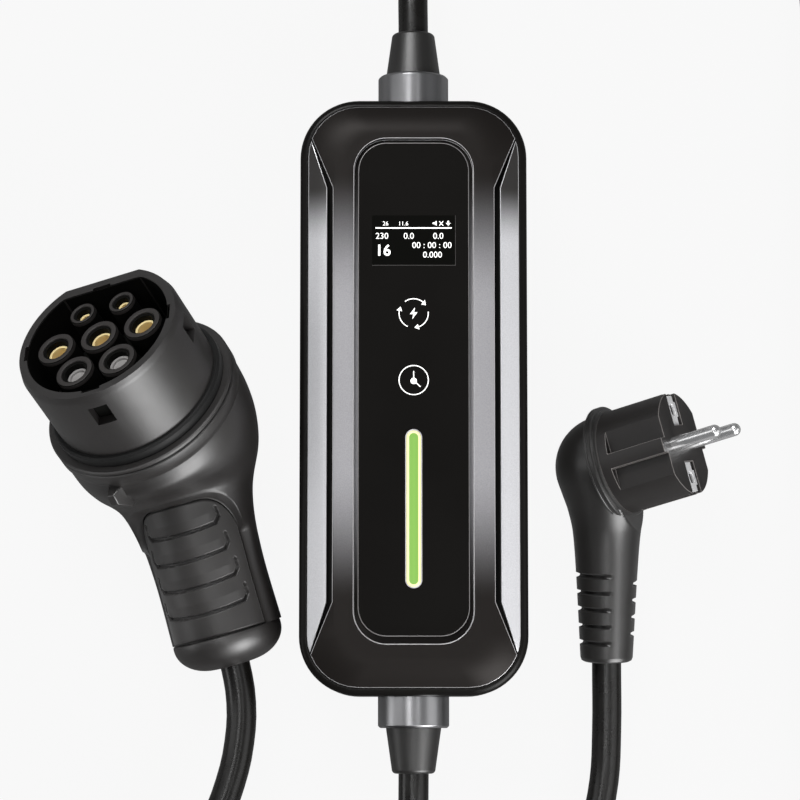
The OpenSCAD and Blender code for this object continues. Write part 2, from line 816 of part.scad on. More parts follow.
// The insulating block that stands in the barrel, with one sleeve round each contact position
module contact_carrier() {
    carrier_r = cavity_r - carrier_gap;
    color(black) in_connector() difference() {
        union() {
            translate([0, 0, -barrel_l]) linear_extrude(carrier_floor + barrel_l)
                flat_circle(carrier_r, cavity_flat - carrier_gap, flat_blend - barrel_wall / 2);
            for (spot = concat(power_spots, blank_spots))
                translate([spot.x, spot.y, -barrel_l])
                    cylinder(sleeve_top + barrel_l, r = power_sleeve_r);
            for (spot = signal_spots) translate([spot.x, spot.y, -barrel_l])
                cylinder(sleeve_top + barrel_l, r = signal_sleeve_r);
        }
        for (spot = concat(power_spots, blank_spots)) translate(spot) sleeve_bore(mouth_r);
        for (spot = signal_spots) translate(spot) sleeve_bore(signal_mouth_r);
    }
}

// The bore of a sleeve, with a ledge at its mouth
module sleeve_bore(r) {
    translate([0, 0, contact_top - contact_l]) cylinder(barrel_l, r = r);
    translate([0, 0, sleeve_top - mouth_step]) cylinder(barrel_l, r = r + mouth_ledge);
}

module contact_tube(bore_r) {
    translate([0, 0, contact_top - contact_l]) difference() {
        cylinder(contact_l, r = bore_r + contact_wall);
        translate([0, 0, 1]) cylinder(contact_l, r = bore_r);
    }
}

module power_contacts() {
    color(gold) in_connector() for (spot = power_spots) translate(spot)
        contact_tube(power_bore_r);
}

module signal_contacts() {
    color(gold) in_connector() for (spot = signal_spots) translate(spot)
        contact_tube(signal_bore_r);
}

module contact_blanks() {
    dish = 1;
    color(grey) in_connector() for (spot = blank_spots)
        translate([spot.x, spot.y, contact_top - contact_l]) difference() {
            cylinder(contact_l, r = power_bore_r + contact_wall);
            translate([0, 0, contact_l - dish]) cylinder(2, r = power_bore_r);
        }
}

module barrel_seal() {
    seal_r = barrel_d / 2 + 2;
    color(black) in_connector() translate([0, 0, ring_z]) rotate_extrude() polygon([
        [0, 0],
        [seal_r, 0],
        [seal_r, 3.2],
        [seal_r - 0.8, 4],
        [0, 4]
    ]);
}

// Tab under the chin, which a cap's cord or the lock of a holder takes hold of
module chin_tab() {
    tab_s = 15;
    tab_turn = -18;
    f = form_at(tab_s);
    translate(spine_at(tab_s)) rotate([-spine_turn(tab_s), 0, 0]) rotate(tab_turn)
        translate([0, -f[2] + 1.5, 0]) hull() {
            translate([-3, -1, -5]) cube([6, 2, 10]);
            translate([-1.6, -6, 0]) cube([3.2, 2, 4]);
        }
}

// Handle housing: locking ring, elbow with its chin and the handle with the grip's pocket
module connector_body() {
    lip = 1.4;
    color(soft_black) in_connector() {
        loft(body_rings);
        chin_tab();
        translate([0, 0, ring_z]) rotate_extrude() polygon([
            [0, 0],
            [flange_r, 0],
            [flange_r, -lip],
            [flange_r - 0.8, -lip],
            [flange_r - 0.8, -lip - 0.8],
            [flange_r, -lip - 0.8],
            [flange_r, -flange_l + lip],
            [ring_r + 0.2, -flange_l],
            [0, -flange_l]
        ]);
    }
}

// Grip insert: a curved plate whose outer face carries the grooves, each with a hook at its end
grip_side_gap = 0.8;
grip_end_gap = 0.4;
grip_floor_gap = 0.15;
grip_l = spine_l - grip_start - 2 * grip_end_gap;
groove_count = 4;
groove_first = 8.5;
groove_half = 0.9;
groove_reach = 42;
groove_widening = 3;
hook_l = 4;
hook_angle = 8;
grip_half = grip_angle - grip_side_gap;
insert_stations = concat(
    [[0, 0, groove_reach]],
    [[groove_first / 3, 0, groove_reach]],
    [
        for (i = [0:groove_count - 1])
            let (at = groove_first + i * groove_pitch, reach = groove_reach + groove_widening * i)
                each [
                    [at - groove_half, 0, reach],
                    [at - 0.3 * groove_half, 1, reach],
                    [at + 0.3 * groove_half, 1, reach],
                    [at + groove_half, 0, reach]
                ]
    ],
    [[(groove_first + (groove_count - 1) * groove_pitch + grip_l) / 2, 0, groove_reach]],
    [[grip_l, 0, groove_reach]]
);
function hook_shift(t, angle, reach) = t > groove_first / 2 && t < grip_l - 1
    ? hook_l * clamp((abs(angle) - reach + hook_angle) / hook_angle, 0, 1) : 0;
function insert_ring(row, outer) = [
    for (share = grip_spread)
        let (t = row[0], angle = share * grip_half,
             cut = outer && abs(angle) <= row[2] + 2 ? row[1] * groove_d : 0,
             at = bowed(grip_start + grip_end_gap + t - hook_shift(t, angle, row[2]), share * grip_angle))
            skin_point(at, angle, drop_at(at) + cut + (outer ? 0 : grip_t - grip_floor_gap))
];

// A plate between an outer and an inner sheet of points, each a list of equal rows
module sheet_solid(outer, inner) {
    m = len(outer);
    n = len(outer[0]);
    half = m * n;
    points = concat([for (row = outer) each row], [for (row = inner) each row]);
    function quad(a, b, c, d) = [[a, b, c], [a, c, d]];
    skins = [
        for (i = [0:m - 2], j = [0:n - 2]) let (a = i * n + j)
            each concat(
                quad(a, a + n, a + n + 1, a + 1),
                quad(half + a, half + a + 1, half + a + n + 1, half + a + n)
            )
    ];
    ends = [
        for (j = [0:n - 2]) let (z = (m - 1) * n + j)
            each concat(
                quad(j, j + 1, half + j + 1, half + j),
                quad(z + 1, z, half + z, half + z + 1)
            )
    ];
    sides = [
        for (i = [0:m - 2]) let (a = i * n, z = i * n + n - 1)
            each concat(
                quad(a + n, a, half + a, half + a + n),
                quad(z, z + n, half + z + n, half + z)
            )
    ];
    polyhedron(points, concat(skins, ends, sides), convexity = 6);
}

module grip_insert() {
    color(graphite) in_connector() sheet_solid(
        [for (row = insert_stations) insert_ring(row, true)],
        [for (row = insert_stations) insert_ring(row, false)]
    );
}

// Moves to the handle's end, with +Z on down the handle
module at_handle_end() {
    in_connector() translate(spine_at(spine_l)) rotate([180 - bend_angle, 0, 0]) children();
}

module connector_end_cap() {
    rim_r = handle_r;
    cap_hole_r = cable_r + 1.5;
    color(graphite) at_handle_end() rotate_extrude() polygon([
        [0, 0],
        [rim_r, 0],
        [rim_r, 1.6],
        for (a = [15:15:75])
            [cap_hole_r + (rim_r - cap_hole_r) * cos(a), 1.6 + (end_cap_l - 1.6) * sin(a)],
        [cap_hole_r, end_cap_l],
        [0, end_cap_l]
    ]);
}

// Frame of the plug: neck_v runs down the neck, pin_v out along the pins, clip_v up the face
neck_slope = asin((dome_r - neck_end_r) / neck_l);
neck_v = [0, -cos(neck_slope), -sin(neck_slope)];
neck_lift = unit([0, 0, 1] + neck_v * sin(neck_slope));
pin_v = -neck_v * sin(neck_tilt)
    + cos(neck_tilt) * ([cos(plug_roll), 0, 0] + neck_lift * sin(plug_roll));
clip_v = unit(pin_v * (neck_v * pin_v) - neck_v);
row_v = cross(clip_v, pin_v);
dome_z = -plug_l - 6;
plug_o = [plug_x, plug_y, dome_r] - pin_v * dome_z;

module in_plug() {
    multmatrix([
        [row_v.x, clip_v.x, pin_v.x, plug_o.x],
        [row_v.y, clip_v.y, pin_v.y, plug_o.y],
        [row_v.z, clip_v.z, pin_v.z, plug_o.z],
        [0, 0, 0, 1]
    ]) children();
}

pin_root = 8;
shank_r = 2;
clip_w = 7.6;
clip_t = 0.9;
clip_reach = 12.4;
clip_drop = 0.7;
shaft_w = 5;
clip_inset = 2.2;

module plug_body() {
    side_cut = 3.4;
    side_w = 24;
    rib_w = 5.6;
    ring_l = 4;
    color(soft_black) in_plug() difference() {
        translate([0, 0, -plug_l]) cylinder(plug_l, r = plug_r);
        for (turn = [0, 180], half = [-1, 1]) rotate(turn)
            translate([plug_r - side_cut, half > 0 ? rib_w / 2 : -side_w / 2, ring_l - plug_l])
                cube([side_cut + 1, (side_w - rib_w) / 2, plug_l]);
        for (spot = [-1, 1]) translate([spot * pin_pitch / 2, 0, -pin_root])
            cylinder(pin_root + 1, r = shank_r + fit);
        for (turn = [0, 180]) rotate(turn) {
            translate([-clip_w / 2 - fit, plug_r - clip_reach, -clip_drop - clip_t - fit])
                cube([clip_w + 2 * fit, clip_reach + 1, plug_l]);
            translate([-shaft_w / 2 - fit, plug_r - clip_inset, ring_l - plug_l])
                cube([shaft_w + 2 * fit, 4, plug_l]);
        }
    }
}

module plug_pins() {
    color(steel) in_plug() for (side = [-1, 1]) translate([side * pin_pitch / 2, 0, 0]) {
        translate([0, 0, -pin_root]) cylinder(pin_root, r = shank_r);
        cylinder(pin_l - pin_r, r = pin_r);
        translate([0, 0, pin_l - pin_r]) sphere(pin_r);
    }
}

// Bent sheet strips: across the face, where a wider part has an oval hole, then down the side
module earth_clips() {
    hole_r = 1.6;
    hole_l = 1.4;
    wide_l = 5.6;
    wide_y = plug_r - 6.4;
    ring_l = 4;
    color(silver) in_plug() for (turn = [0, 180]) rotate(turn) difference() {
        union() {
            translate([-shaft_w / 2, plug_r - clip_reach + fit, -clip_drop - clip_t])
                cube([shaft_w, clip_reach - clip_inset + clip_t, clip_t]);
            translate([-clip_w / 2, wide_y - wide_l / 2, -clip_drop - clip_t])
                cube([clip_w, wide_l, clip_t]);
            translate([-shaft_w / 2, plug_r - clip_inset + fit, ring_l - plug_l + fit])
                cube([shaft_w, clip_t, plug_l - ring_l - clip_drop - fit]);
        }
        translate([0, wide_y - hole_l / 2, -clip_drop - 2 * clip_t])
            linear_extrude(3 * clip_t) {
                circle(hole_r);
                translate([-hole_r, 0]) square([2 * hole_r, hole_l]);
                translate([0, hole_l]) circle(hole_r);
            }
    }
}

// Within the plug's frame, moves to the middle of its rounded back, with +Z on down the neck
module at_neck() {
    translate([0, 0, dome_z]) rotate([90 + neck_tilt, 0, 0]) children();
}

// Moulded rubber cover: flange, rounded back and the neck with its staggered slots
module plug_cover() {
    waist = 24;
    waist_r = 12.4;
    step_l = 1.2;
    ring_d = 0.5;
    slot_w = 1.4;
    slot_step = 6.2;
    slot_first = neck_l - 8;
    color(soft_black) in_plug() difference() {
        union() {
            translate([0, 0, -plug_l]) rotate_extrude() polygon([
                [0, -plug_flange_t],
                [plug_flange_r - ring_d, -plug_flange_t],
                [plug_flange_r, -plug_flange_t + ring_d],
                [plug_flange_r, -2.6 * step_l],
                [plug_flange_r - ring_d, -2.6 * step_l],
                [plug_flange_r - ring_d, -2.2 * step_l],
                [plug_flange_r, -2.2 * step_l],
                [plug_flange_r, -step_l],
                [plug_flange_r - 1.4, -step_l],
                [plug_flange_r - 1.4, 0],
                [0, 0]
            ]);
            translate([0, 0, dome_z]) sphere(dome_r);
            at_neck() difference() {
                union() {
                    cylinder(waist, r1 = dome_r - 2.5, r2 = waist_r);
                    translate([0, 0, waist])
                        cylinder(neck_l - waist, r1 = waist_r, r2 = neck_end_r);
                }
                for (i = [0:4]) translate([0, 0, slot_first - i * slot_step]) rotate(-150)
                    slot_cut(slot_w);
                for (i = [0:3]) translate([0, 0, slot_first - (i + 0.5) * slot_step]) rotate(30)
                    slot_cut(slot_w);
            }
        }
        translate([0, 0, -plug_l]) cylinder(2 * dome_r, r = 2 * dome_r);
    }
}

// One slot of the strain relief: a flat notch on one side of the neck
module slot_cut(w) {
    translate([neck_end_r - slot_d, -2 * neck_end_r, 0])
        cube([2 * neck_end_r, 4 * neck_end_r, w]);
}

// Cord routes: points chosen by hand, with the free ends at the pieces that they leave
handle_end = connector_o + to_table(spine_at(spine_l)) + handle_v * end_cap_l;
neck_end = [plug_x, plug_y, dome_r] + neck_v * neck_l;
mains_route = [
    [0, boot_tip_y, gland_z],
    [0, boot_tip_y + 20, gland_z - 1.5],
    [1.5, 176, 17.5],
    [8, 194, 10.5],
    [22, 210, 6.5],
    [46, 221, cable_r],
    [73, 224, cable_r],
    [101, 220, cable_r],
    [125, 207, cable_r],
    [142, 187, cable_r],
    [151, 162, cable_r],
    [153, 135, cable_r],
    [153, 108, cable_r],
    [153, 80, cable_r],
    [153, 50, cable_r],
    [153, 20, cable_r],
    [153, -10, cable_r],
    [153, -40, cable_r],
    [153, -70, cable_r],
    [153, -100, cable_r],
    [153, -130, cable_r],
    [153, -160, cable_r],
    [152.5, -187, cable_r],
    [146.4, -210, cable_r],
    [129.8, -226.4, cable_r],
    [107, -232.5, cable_r],
    [84.3, -226.4, cable_r],
    [67.6, -210, cable_r],
    [61.5, -187, cable_r],
    [64.2, -170, cable_r],
    [68.6, -154, cable_r],
    [71.2, -138, cable_r],
    [plug_x, -122, 7],
    neck_end
];
vehicle_start_route = [
    [0, -boot_tip_y, gland_z],
    [0, -152, 23],
    [1, -170, 18.5],
    [4.5, -188.5, 12]
];
vehicle_end_route = [
    [-75, -168.5, 20],
    [-69.5, -150, 18],
    [-68, -132, 16],
    [-67.5, -114, 15],
    handle_end
];

// Tube along a route: a ring at each point, square to the way through it
function way_at(route, i) = unit(route[min(i + 1, len(route) - 1)] - route[max(i - 1, 0)]);
function tube_rings(route, r, first_way, last_way, sides = 10) = [
    for (i = [0:len(route) - 1])
        let (last = len(route) - 1,
             way = i == 0 ? first_way : i == last ? last_way : way_at(route, i),
             side = unit(cross([0, 0, 1], way)),
             rise = cross(way, side))
            [
                for (k = [0:sides - 1]) let (a = 360 * k / sides)
                    route[i] + r * (side * sin(a) - rise * cos(a))
            ]
];

module mains_cord() {
    color(black) loft(tube_rings(mains_route, cable_r, [0, 1, 0], -neck_v));
}

module vehicle_cord_start() {
    end_way = unit([0.27, -0.96, -0.3]);
    color(black) loft(tube_rings(vehicle_start_route, cable_r, [0, -1, 0], end_way));
}

module vehicle_cord_end() {
    color(black) loft(tube_rings(vehicle_end_route, cable_r, unit([0.36, 0.93, -0.1]), -handle_v));
}

coil_x = -56;
coil_y = -252;
coil_w = coil_rows * cable_d;
coil_h = coil_layers * cable_d;
coil_in = coil_d / 2 - coil_w / 2;

module vehicle_cord_coil() {
    color(black) translate([coil_x, coil_y, 0]) difference() {
        rotate_extrude() translate([coil_in, 0]) square([coil_w, coil_h]);
        translate([-tie_w / 2, -coil_d, -1]) cube([tie_w, coil_d, tie_t + 1]);
    }
}

// Strap round the coil's bundle, at the side away from the box
module coil_tie() {
    color(soft_black) translate([coil_x, coil_y, 0]) intersection() {
        rotate_extrude() difference() {
            translate([coil_in - tie_t, 0]) square([coil_w + 2 * tie_t, coil_h + tie_t]);
            translate([coil_in, tie_t]) square([coil_w, coil_h - tie_t]);
        }
        translate([-tie_w / 2, -coil_d, -1]) cube([tie_w, coil_d, coil_h + tie_t + 2]);
    }
}

rear_cover();
front_housing();
housing_seal();
case_screws();
face_bezel();
side_trim_left();
side_trim_right();
front_panel();
display_module();
light_guide();
touch_springs();
display_board();
control_board();
board_screws();
power_relays();
supply_transformer();
current_sensor();
buzzer();
top_gland_collar();
bottom_gland_collar();
gland_nuts();
top_cable_boot();
bottom_cable_boot();
connector_barrel();
contact_carrier();
power_contacts();
signal_contacts();
contact_blanks();
barrel_seal();
connector_body();
grip_insert();
connector_end_cap();
plug_body();
plug_pins();
earth_clips();
plug_cover();
mains_cord();
vehicle_cord_start();
vehicle_cord_coil();
vehicle_cord_end();
coil_tie();
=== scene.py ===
"""Looks of a portable car charging lead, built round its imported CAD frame.

A control box lies in the middle of the lead. An angled mains plug ends one cable and a pistol-grip vehicle
connector the other. Sizes are in millimetres and meshes in metres, both in the row frame of the CAD part.
"""

import logging
import math
from dataclasses import dataclass, field
from enum import Enum

import bmesh
import bpy
import numpy as np
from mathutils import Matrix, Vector


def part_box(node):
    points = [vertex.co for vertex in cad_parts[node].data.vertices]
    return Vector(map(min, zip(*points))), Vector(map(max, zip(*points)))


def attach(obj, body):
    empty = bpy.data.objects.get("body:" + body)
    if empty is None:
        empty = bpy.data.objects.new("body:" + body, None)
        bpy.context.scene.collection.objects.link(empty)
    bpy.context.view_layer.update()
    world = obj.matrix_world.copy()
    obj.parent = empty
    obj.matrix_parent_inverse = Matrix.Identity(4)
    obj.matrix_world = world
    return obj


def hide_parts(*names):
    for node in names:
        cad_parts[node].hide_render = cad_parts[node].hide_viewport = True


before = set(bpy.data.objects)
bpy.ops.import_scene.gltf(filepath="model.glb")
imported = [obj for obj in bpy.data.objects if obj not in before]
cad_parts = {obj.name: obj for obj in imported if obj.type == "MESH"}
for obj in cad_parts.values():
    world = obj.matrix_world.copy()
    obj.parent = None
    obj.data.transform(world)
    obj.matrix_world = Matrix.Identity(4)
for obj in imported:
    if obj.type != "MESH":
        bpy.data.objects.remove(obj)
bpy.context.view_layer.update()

LOG = logging.getLogger("charging_lead")
MM = 0.001
Colour = tuple[float, float, float]
Point = tuple[float, float, float]
Faces = list[tuple[int, ...]]
Socket = bpy.types.NodeSocket
Piece = bpy.types.Object


# Geometry helpers


def unit(v: np.ndarray) -> np.ndarray:
    """The vector's direction, as a vector of length 1."""
    return v / np.linalg.norm(v)


def smooth_step(x: np.ndarray) -> np.ndarray:
    """0 below 0, 1 above 1, and an S curve between them."""
    x = np.clip(x, 0.0, 1.0)
    return x * x * (3 - 2 * x)


def circle(steps: int) -> np.ndarray:
    """Even angles once round, in radians."""
    return np.linspace(0, 2 * math.pi, steps, endpoint=False)


def table_curve(rows: list[list[float]], at: np.ndarray) -> np.ndarray:
    """Reads a table of sizes along a length as a smooth curve that never overshoots its rows.

    Args:
        rows: one row for each station, with the station's place first.
        at: the places to read.

    Returns:
        One row of sizes for each place.
    """
    table = np.array(rows, float)
    x, y = table[:, 0], table[:, 1:]
    step = np.diff(x)[:, None]
    slope = np.diff(y, axis=0) / step
    tangent = np.zeros_like(y)
    tangent[0], tangent[-1] = slope[0], slope[-1]
    same = slope[:-1] * slope[1:] > 0
    mean = 2 * slope[:-1] * slope[1:] / np.where(same, slope[:-1] + slope[1:], 1.0)
    tangent[1:-1] = np.where(same, mean, 0.0)
    at = np.clip(at, x[0], x[-1])
    i = np.clip(np.searchsorted(x, at, side="right") - 1, 0, len(x) - 2)
    t = ((at - x[i]) / (x[i + 1] - x[i]))[:, None]
    h = step[i]
    return ((1 + 2 * t) * (1 - t) ** 2 * y[i] + t * (1 - t) ** 2 * h * tangent[i]
            + t * t * (3 - 2 * t) * y[i + 1] + t * t * (t - 1) * h * tangent[i + 1])


@dataclass(frozen=True)
class Placement:
    """A local frame: its origin in millimetres in the row frame, and the way of each of its axes."""

    origin: np.ndarray
    right: np.ndarray
    up: np.ndarray
    out: np.ndarray

    def at(self, points: np.ndarray) -> np.ndarray:
        """Local points, in the row frame."""
        p = np.asarray(points, float)
        return self.origin + p[..., :1] * self.right + p[..., 1:2] * self.up + p[..., 2:3] * self.out

    def tilted(self, origin: Point, degrees: float) -> "Placement":
        """A frame at a local point, turned about this frame's right-hand axis."""
        a = math.radians(degrees)
        return Placement(self.at(np.array(origin)), self.right,
                         self.up * math.cos(a) + self.out * math.sin(a),
                         self.out * math.cos(a) - self.up * math.sin(a))

    def moved(self, x: float, y: float, z: float) -> "Placement":
        """The same axes at a local point."""
        return Placement(self.at(np.array([x, y, z])), self.right, self.up, self.out)


@dataclass(frozen=True)
class Lay:
    """How connector and plug lie on the table, as the CAD part lays them."""

    connector_mid: Point = (-88.5, -19.5, 30.3558)
    handle_heading: float = 15.8
    handle_slope: float = 5.2
    connector_roll: float = 18.0
    bend_angle: float = 44.0
    plug_back: Point = (71.5, -24.5, 19.0)
    plug_roll: float = 28.0
    neck_tilt: float = 17.0
    neck_length: float = 72.0
    neck_end_radius: float = 9.6

    def connector(self, form: "HandleForm") -> Placement:
        """The connector's frame, with its origin in the middle of the barrel's mouth."""
        turn, slope, roll, bend = (math.radians(a) for a in (
            self.handle_heading, self.handle_slope, self.connector_roll, self.bend_angle))
        heading = np.array([math.sin(turn), -math.cos(turn), 0.0])
        handle = np.append(heading[:2] * math.cos(slope), -math.sin(slope))
        lift = unit(np.array([0, 0, 1.0]) + handle * math.sin(slope))
        finger = lift * math.cos(roll) + np.cross(heading, [0, 0, 1.0]) * math.sin(roll)
        out = finger * math.sin(bend) - handle * math.cos(bend)
        up = -(handle + out * math.cos(bend)) / math.sin(bend)
        turned = Placement(np.zeros(3), np.cross(up, out), up, out)
        middle = form.spine(np.array([form.arc_start + form.arc_length / 2]))[0]
        return Placement(np.array(self.connector_mid) - turned.at(middle), turned.right, up, out)

    def plug(self, back_depth: float) -> Placement:
        """The plug's frame, with its origin in the middle of its face."""
        slope = math.asin((self.plug_back[2] - self.neck_end_radius) / self.neck_length)
        tilt, roll = math.radians(self.neck_tilt), math.radians(self.plug_roll)
        neck = np.array([0, -math.cos(slope), -math.sin(slope)])
        lift = unit(np.array([0, 0, 1.0]) + neck * math.sin(slope))
        pins = -neck * math.sin(tilt) + math.cos(tilt) * (
            np.array([math.cos(roll), 0, 0]) + lift * math.sin(roll))
        clip = unit(pins * float(neck @ pins) - neck)
        return Placement(np.array(self.plug_back) + pins * back_depth, np.cross(clip, pins), clip, pins)


@dataclass(frozen=True)
class HandleForm:
    """The spine and the half widths of the connector's body, from the locking ring to the end cap."""

    spine_top: float = -41.0
    arc_start: float = 3.0
    bend_radius: float = 47.0
    bend_angle: float = 44.0
    handle_length: float = 52.0
    ring: float = 35.8
    handle: float = 20.3
    grip_half: float = 70.0
    flank: float = 14.0
    grip_drop: float = 1.4
    rim_drop: float = 3.6
    rim_fade: float = 26.0
    corner: float = 16.0
    grip_rise: float = 1.7
    bow_start: float = 20.0
    bow_run: float = 40.0
    bow_fade: float = 50.0

    @property
    def arc_length(self) -> float:
        """Length of the bend along the spine."""
        return self.bend_radius * math.radians(self.bend_angle)

    @property
    def arc_end(self) -> float:
        """Where the bend ends along the spine."""
        return self.arc_start + self.arc_length

    @property
    def length(self) -> float:
        """Length of the whole spine."""
        return self.arc_end + self.handle_length

    def rows(self) -> list[list[float]]:
        """Distance along the spine, then the half width at the side, at the fingers and at the back."""
        r, h, e = self.ring, self.handle, self.arc_end
        return [
            [0, r, r, r], [6, r, r + 0.4, r - 0.3], [14, r - 0.6, r + 0.6, r - 1.4],
            [21, r - 2, r - 0.2, r - 3.6], [26, r - 3.6, r - 1.6, r - 5.8], [30, r - 5.2, r - 3, r - 8],
            [33, r - 7, r - 5.6, r - 9.6], [36, h + 6.4, h + 7.2, h + 4.4], [e, h + 4.6, h + 5.2, h + 3],
            [e + 4, h + 3.4, h + 3.6, h + 2], [e + 9, h + 2.2, h + 2.2, h + 1.1],
            [e + 18, h + 1, h + 0.6, h + 0.2], [self.length - 20, h + 0.4, h, h],
            [self.length, h + 0.7, h + 0.2, h + 0.6]]

    def sizes(self, s: np.ndarray, reach: float = 7.0) -> np.ndarray:
        """The half widths at each place, averaged over a short reach so that the skin flows."""
        near = np.clip(np.minimum(s, self.length - s), 0, reach)
        weights = np.hanning(9)[1:-1]
        steps = np.linspace(-1, 1, 9)[1:-1]
        return sum(w * table_curve(self.rows(), s + near * k) for w, k in zip(weights, steps)) / weights.sum()

    @property
    def grip_start(self) -> float:
        """Where the grip's pocket begins along the spine."""
        return self.arc_end + 2

    def off_grip(self, degrees: np.ndarray) -> np.ndarray:
        """Angle from the middle of the grip, 0 to 180."""
        return np.abs((degrees + 180) % 360 - 180)

    def drop(self, s: np.ndarray) -> np.ndarray:
        """How far the grip's face lies below the skin: more under the elbow's rim."""
        left = 1 - np.clip((s - self.grip_start) / self.rim_fade, 0, 1)
        return self.grip_drop + self.rim_drop * left ** 2

    def bowed(self, s: np.ndarray, degrees: np.ndarray) -> np.ndarray:
        """Moves stations down the handle beside the grip, which rounds the pocket's upper corners."""
        off = self.off_grip(degrees)
        inside = np.radians(self.grip_half - off) * (self.handle + self.grip_rise)
        over = np.clip(self.corner - inside, 0, self.corner)
        fade = 1 - np.clip((off - self.grip_half - self.flank) / self.bow_fade, 0, 1)
        bow = fade * (self.corner - np.sqrt(self.corner ** 2 - over ** 2))
        before = np.clip((s - self.bow_start) / (self.grip_start - self.bow_start), 0, 1)
        after = np.clip((self.grip_start + self.bow_run - s) / self.bow_run, 0, 1)
        return s + bow * np.where(s < self.grip_start, before, after)

    def turn(self, s: np.ndarray) -> np.ndarray:
        """How far the spine has turned at each place, in radians."""
        return np.clip((s - self.arc_start) / self.arc_length, 0, 1) * math.radians(self.bend_angle)

    def spine(self, s: np.ndarray) -> np.ndarray:
        """Points of the spine in the connector's frame."""
        t, past = self.turn(s), np.maximum(0, s - self.arc_end)
        return np.stack([0 * s, self.bend_radius * (np.cos(t) - 1) - past * np.sin(t),
                         self.spine_top - np.minimum(s, self.arc_start) - self.bend_radius * np.sin(t)
                         - past * np.cos(t)], -1)

    def skin(self, s: np.ndarray, degrees: np.ndarray, sink: np.ndarray) -> np.ndarray:
        """Points of the skin, in the connector's frame.

        Args:
            s: places along the spine.
            degrees: angles round the spine, 0 at the fingers.
            sink: how far each point lies below the skin.

        Returns:
            One point for each place.
        """
        s, a = np.ravel(s), np.radians(np.ravel(degrees))
        sizes, t = self.sizes(s), self.turn(s)
        reach = np.where(np.cos(a) > 0, sizes[:, 1], sizes[:, 2])
        fingers = np.stack([0 * t, -np.cos(t), np.sin(t)], -1)
        side = np.array([[1.0, 0, 0]])
        return (self.spine(s) + fingers * (np.cos(a) * (reach - np.ravel(sink)))[:, None]
                - side * (np.sin(a) * (sizes[:, 0] - np.ravel(sink)))[:, None])


# Scene helpers


def new_object(name: str, data: bpy.types.ID) -> Piece:
    """An object in the scene, made from its mesh, curve, lamp or camera."""
    made = bpy.data.objects.new(name, data)
    bpy.context.scene.collection.objects.link(made)
    return made


def new_modifier(piece: Piece, name: str, kind: str, **settings: object) -> bpy.types.Modifier:
    """Adds a modifier and sets its properties."""
    made = piece.modifiers.new(name, kind)
    for key, value in settings.items():
        setattr(made, key, value)
    return made


# Finishes


class NodeTree:
    """A node tree while it is being put together."""

    def __init__(self, tree: bpy.types.NodeTree) -> None:
        """Starts with an empty tree.

        Args:
            tree: the tree of a material, a world or a modifier.
        """
        self.tree = tree
        tree.nodes.clear()

    def add(self, kind: str, inputs: dict[str | int, object] | None = None,
            **settings: object) -> bpy.types.Node:
        """Adds a node, sets its properties and fills its inputs."""
        node = self.tree.nodes.new(kind)
        for key, value in settings.items():
            setattr(node, key, value)
        for key, value in (inputs or {}).items():
            self.fill(node.inputs[key], value)
        return node

    def link(self, source: Socket, target: Socket) -> None:
        """Links two sockets."""
        self.tree.links.new(source, target)

    def fill(self, socket: Socket, value: object) -> None:
        """Links another socket to a socket, or gives it a colour or a number."""
        if isinstance(value, Socket):
            self.link(value, socket)
        elif isinstance(value, tuple) and len(value) == 3 and len(socket.default_value) == 4:
            socket.default_value = (*value, 1.0)
        else:
            socket.default_value = value

    def maths(self, operation: str, a: object, b: object) -> Socket:
        """A sum, product or other operation on two values or sockets."""
        return self.add("ShaderNodeMath", {0: a, 1: b}, operation=operation).outputs[0]

    def seen_straight(self, lit: Socket, shown: Socket, share: float) -> Socket:
        """One shader for the light that falls on the object, with a share of another for the eye alone."""
        rays = self.add("ShaderNodeLightPath").outputs
        seen = self.maths("MAXIMUM", rays["Is Camera Ray"], rays["Is Transmission Ray"])
        part = self.maths("MULTIPLY", seen, share)
        return self.add("ShaderNodeMixShader", {0: part, 1: lit, 2: shown}).outputs[0]


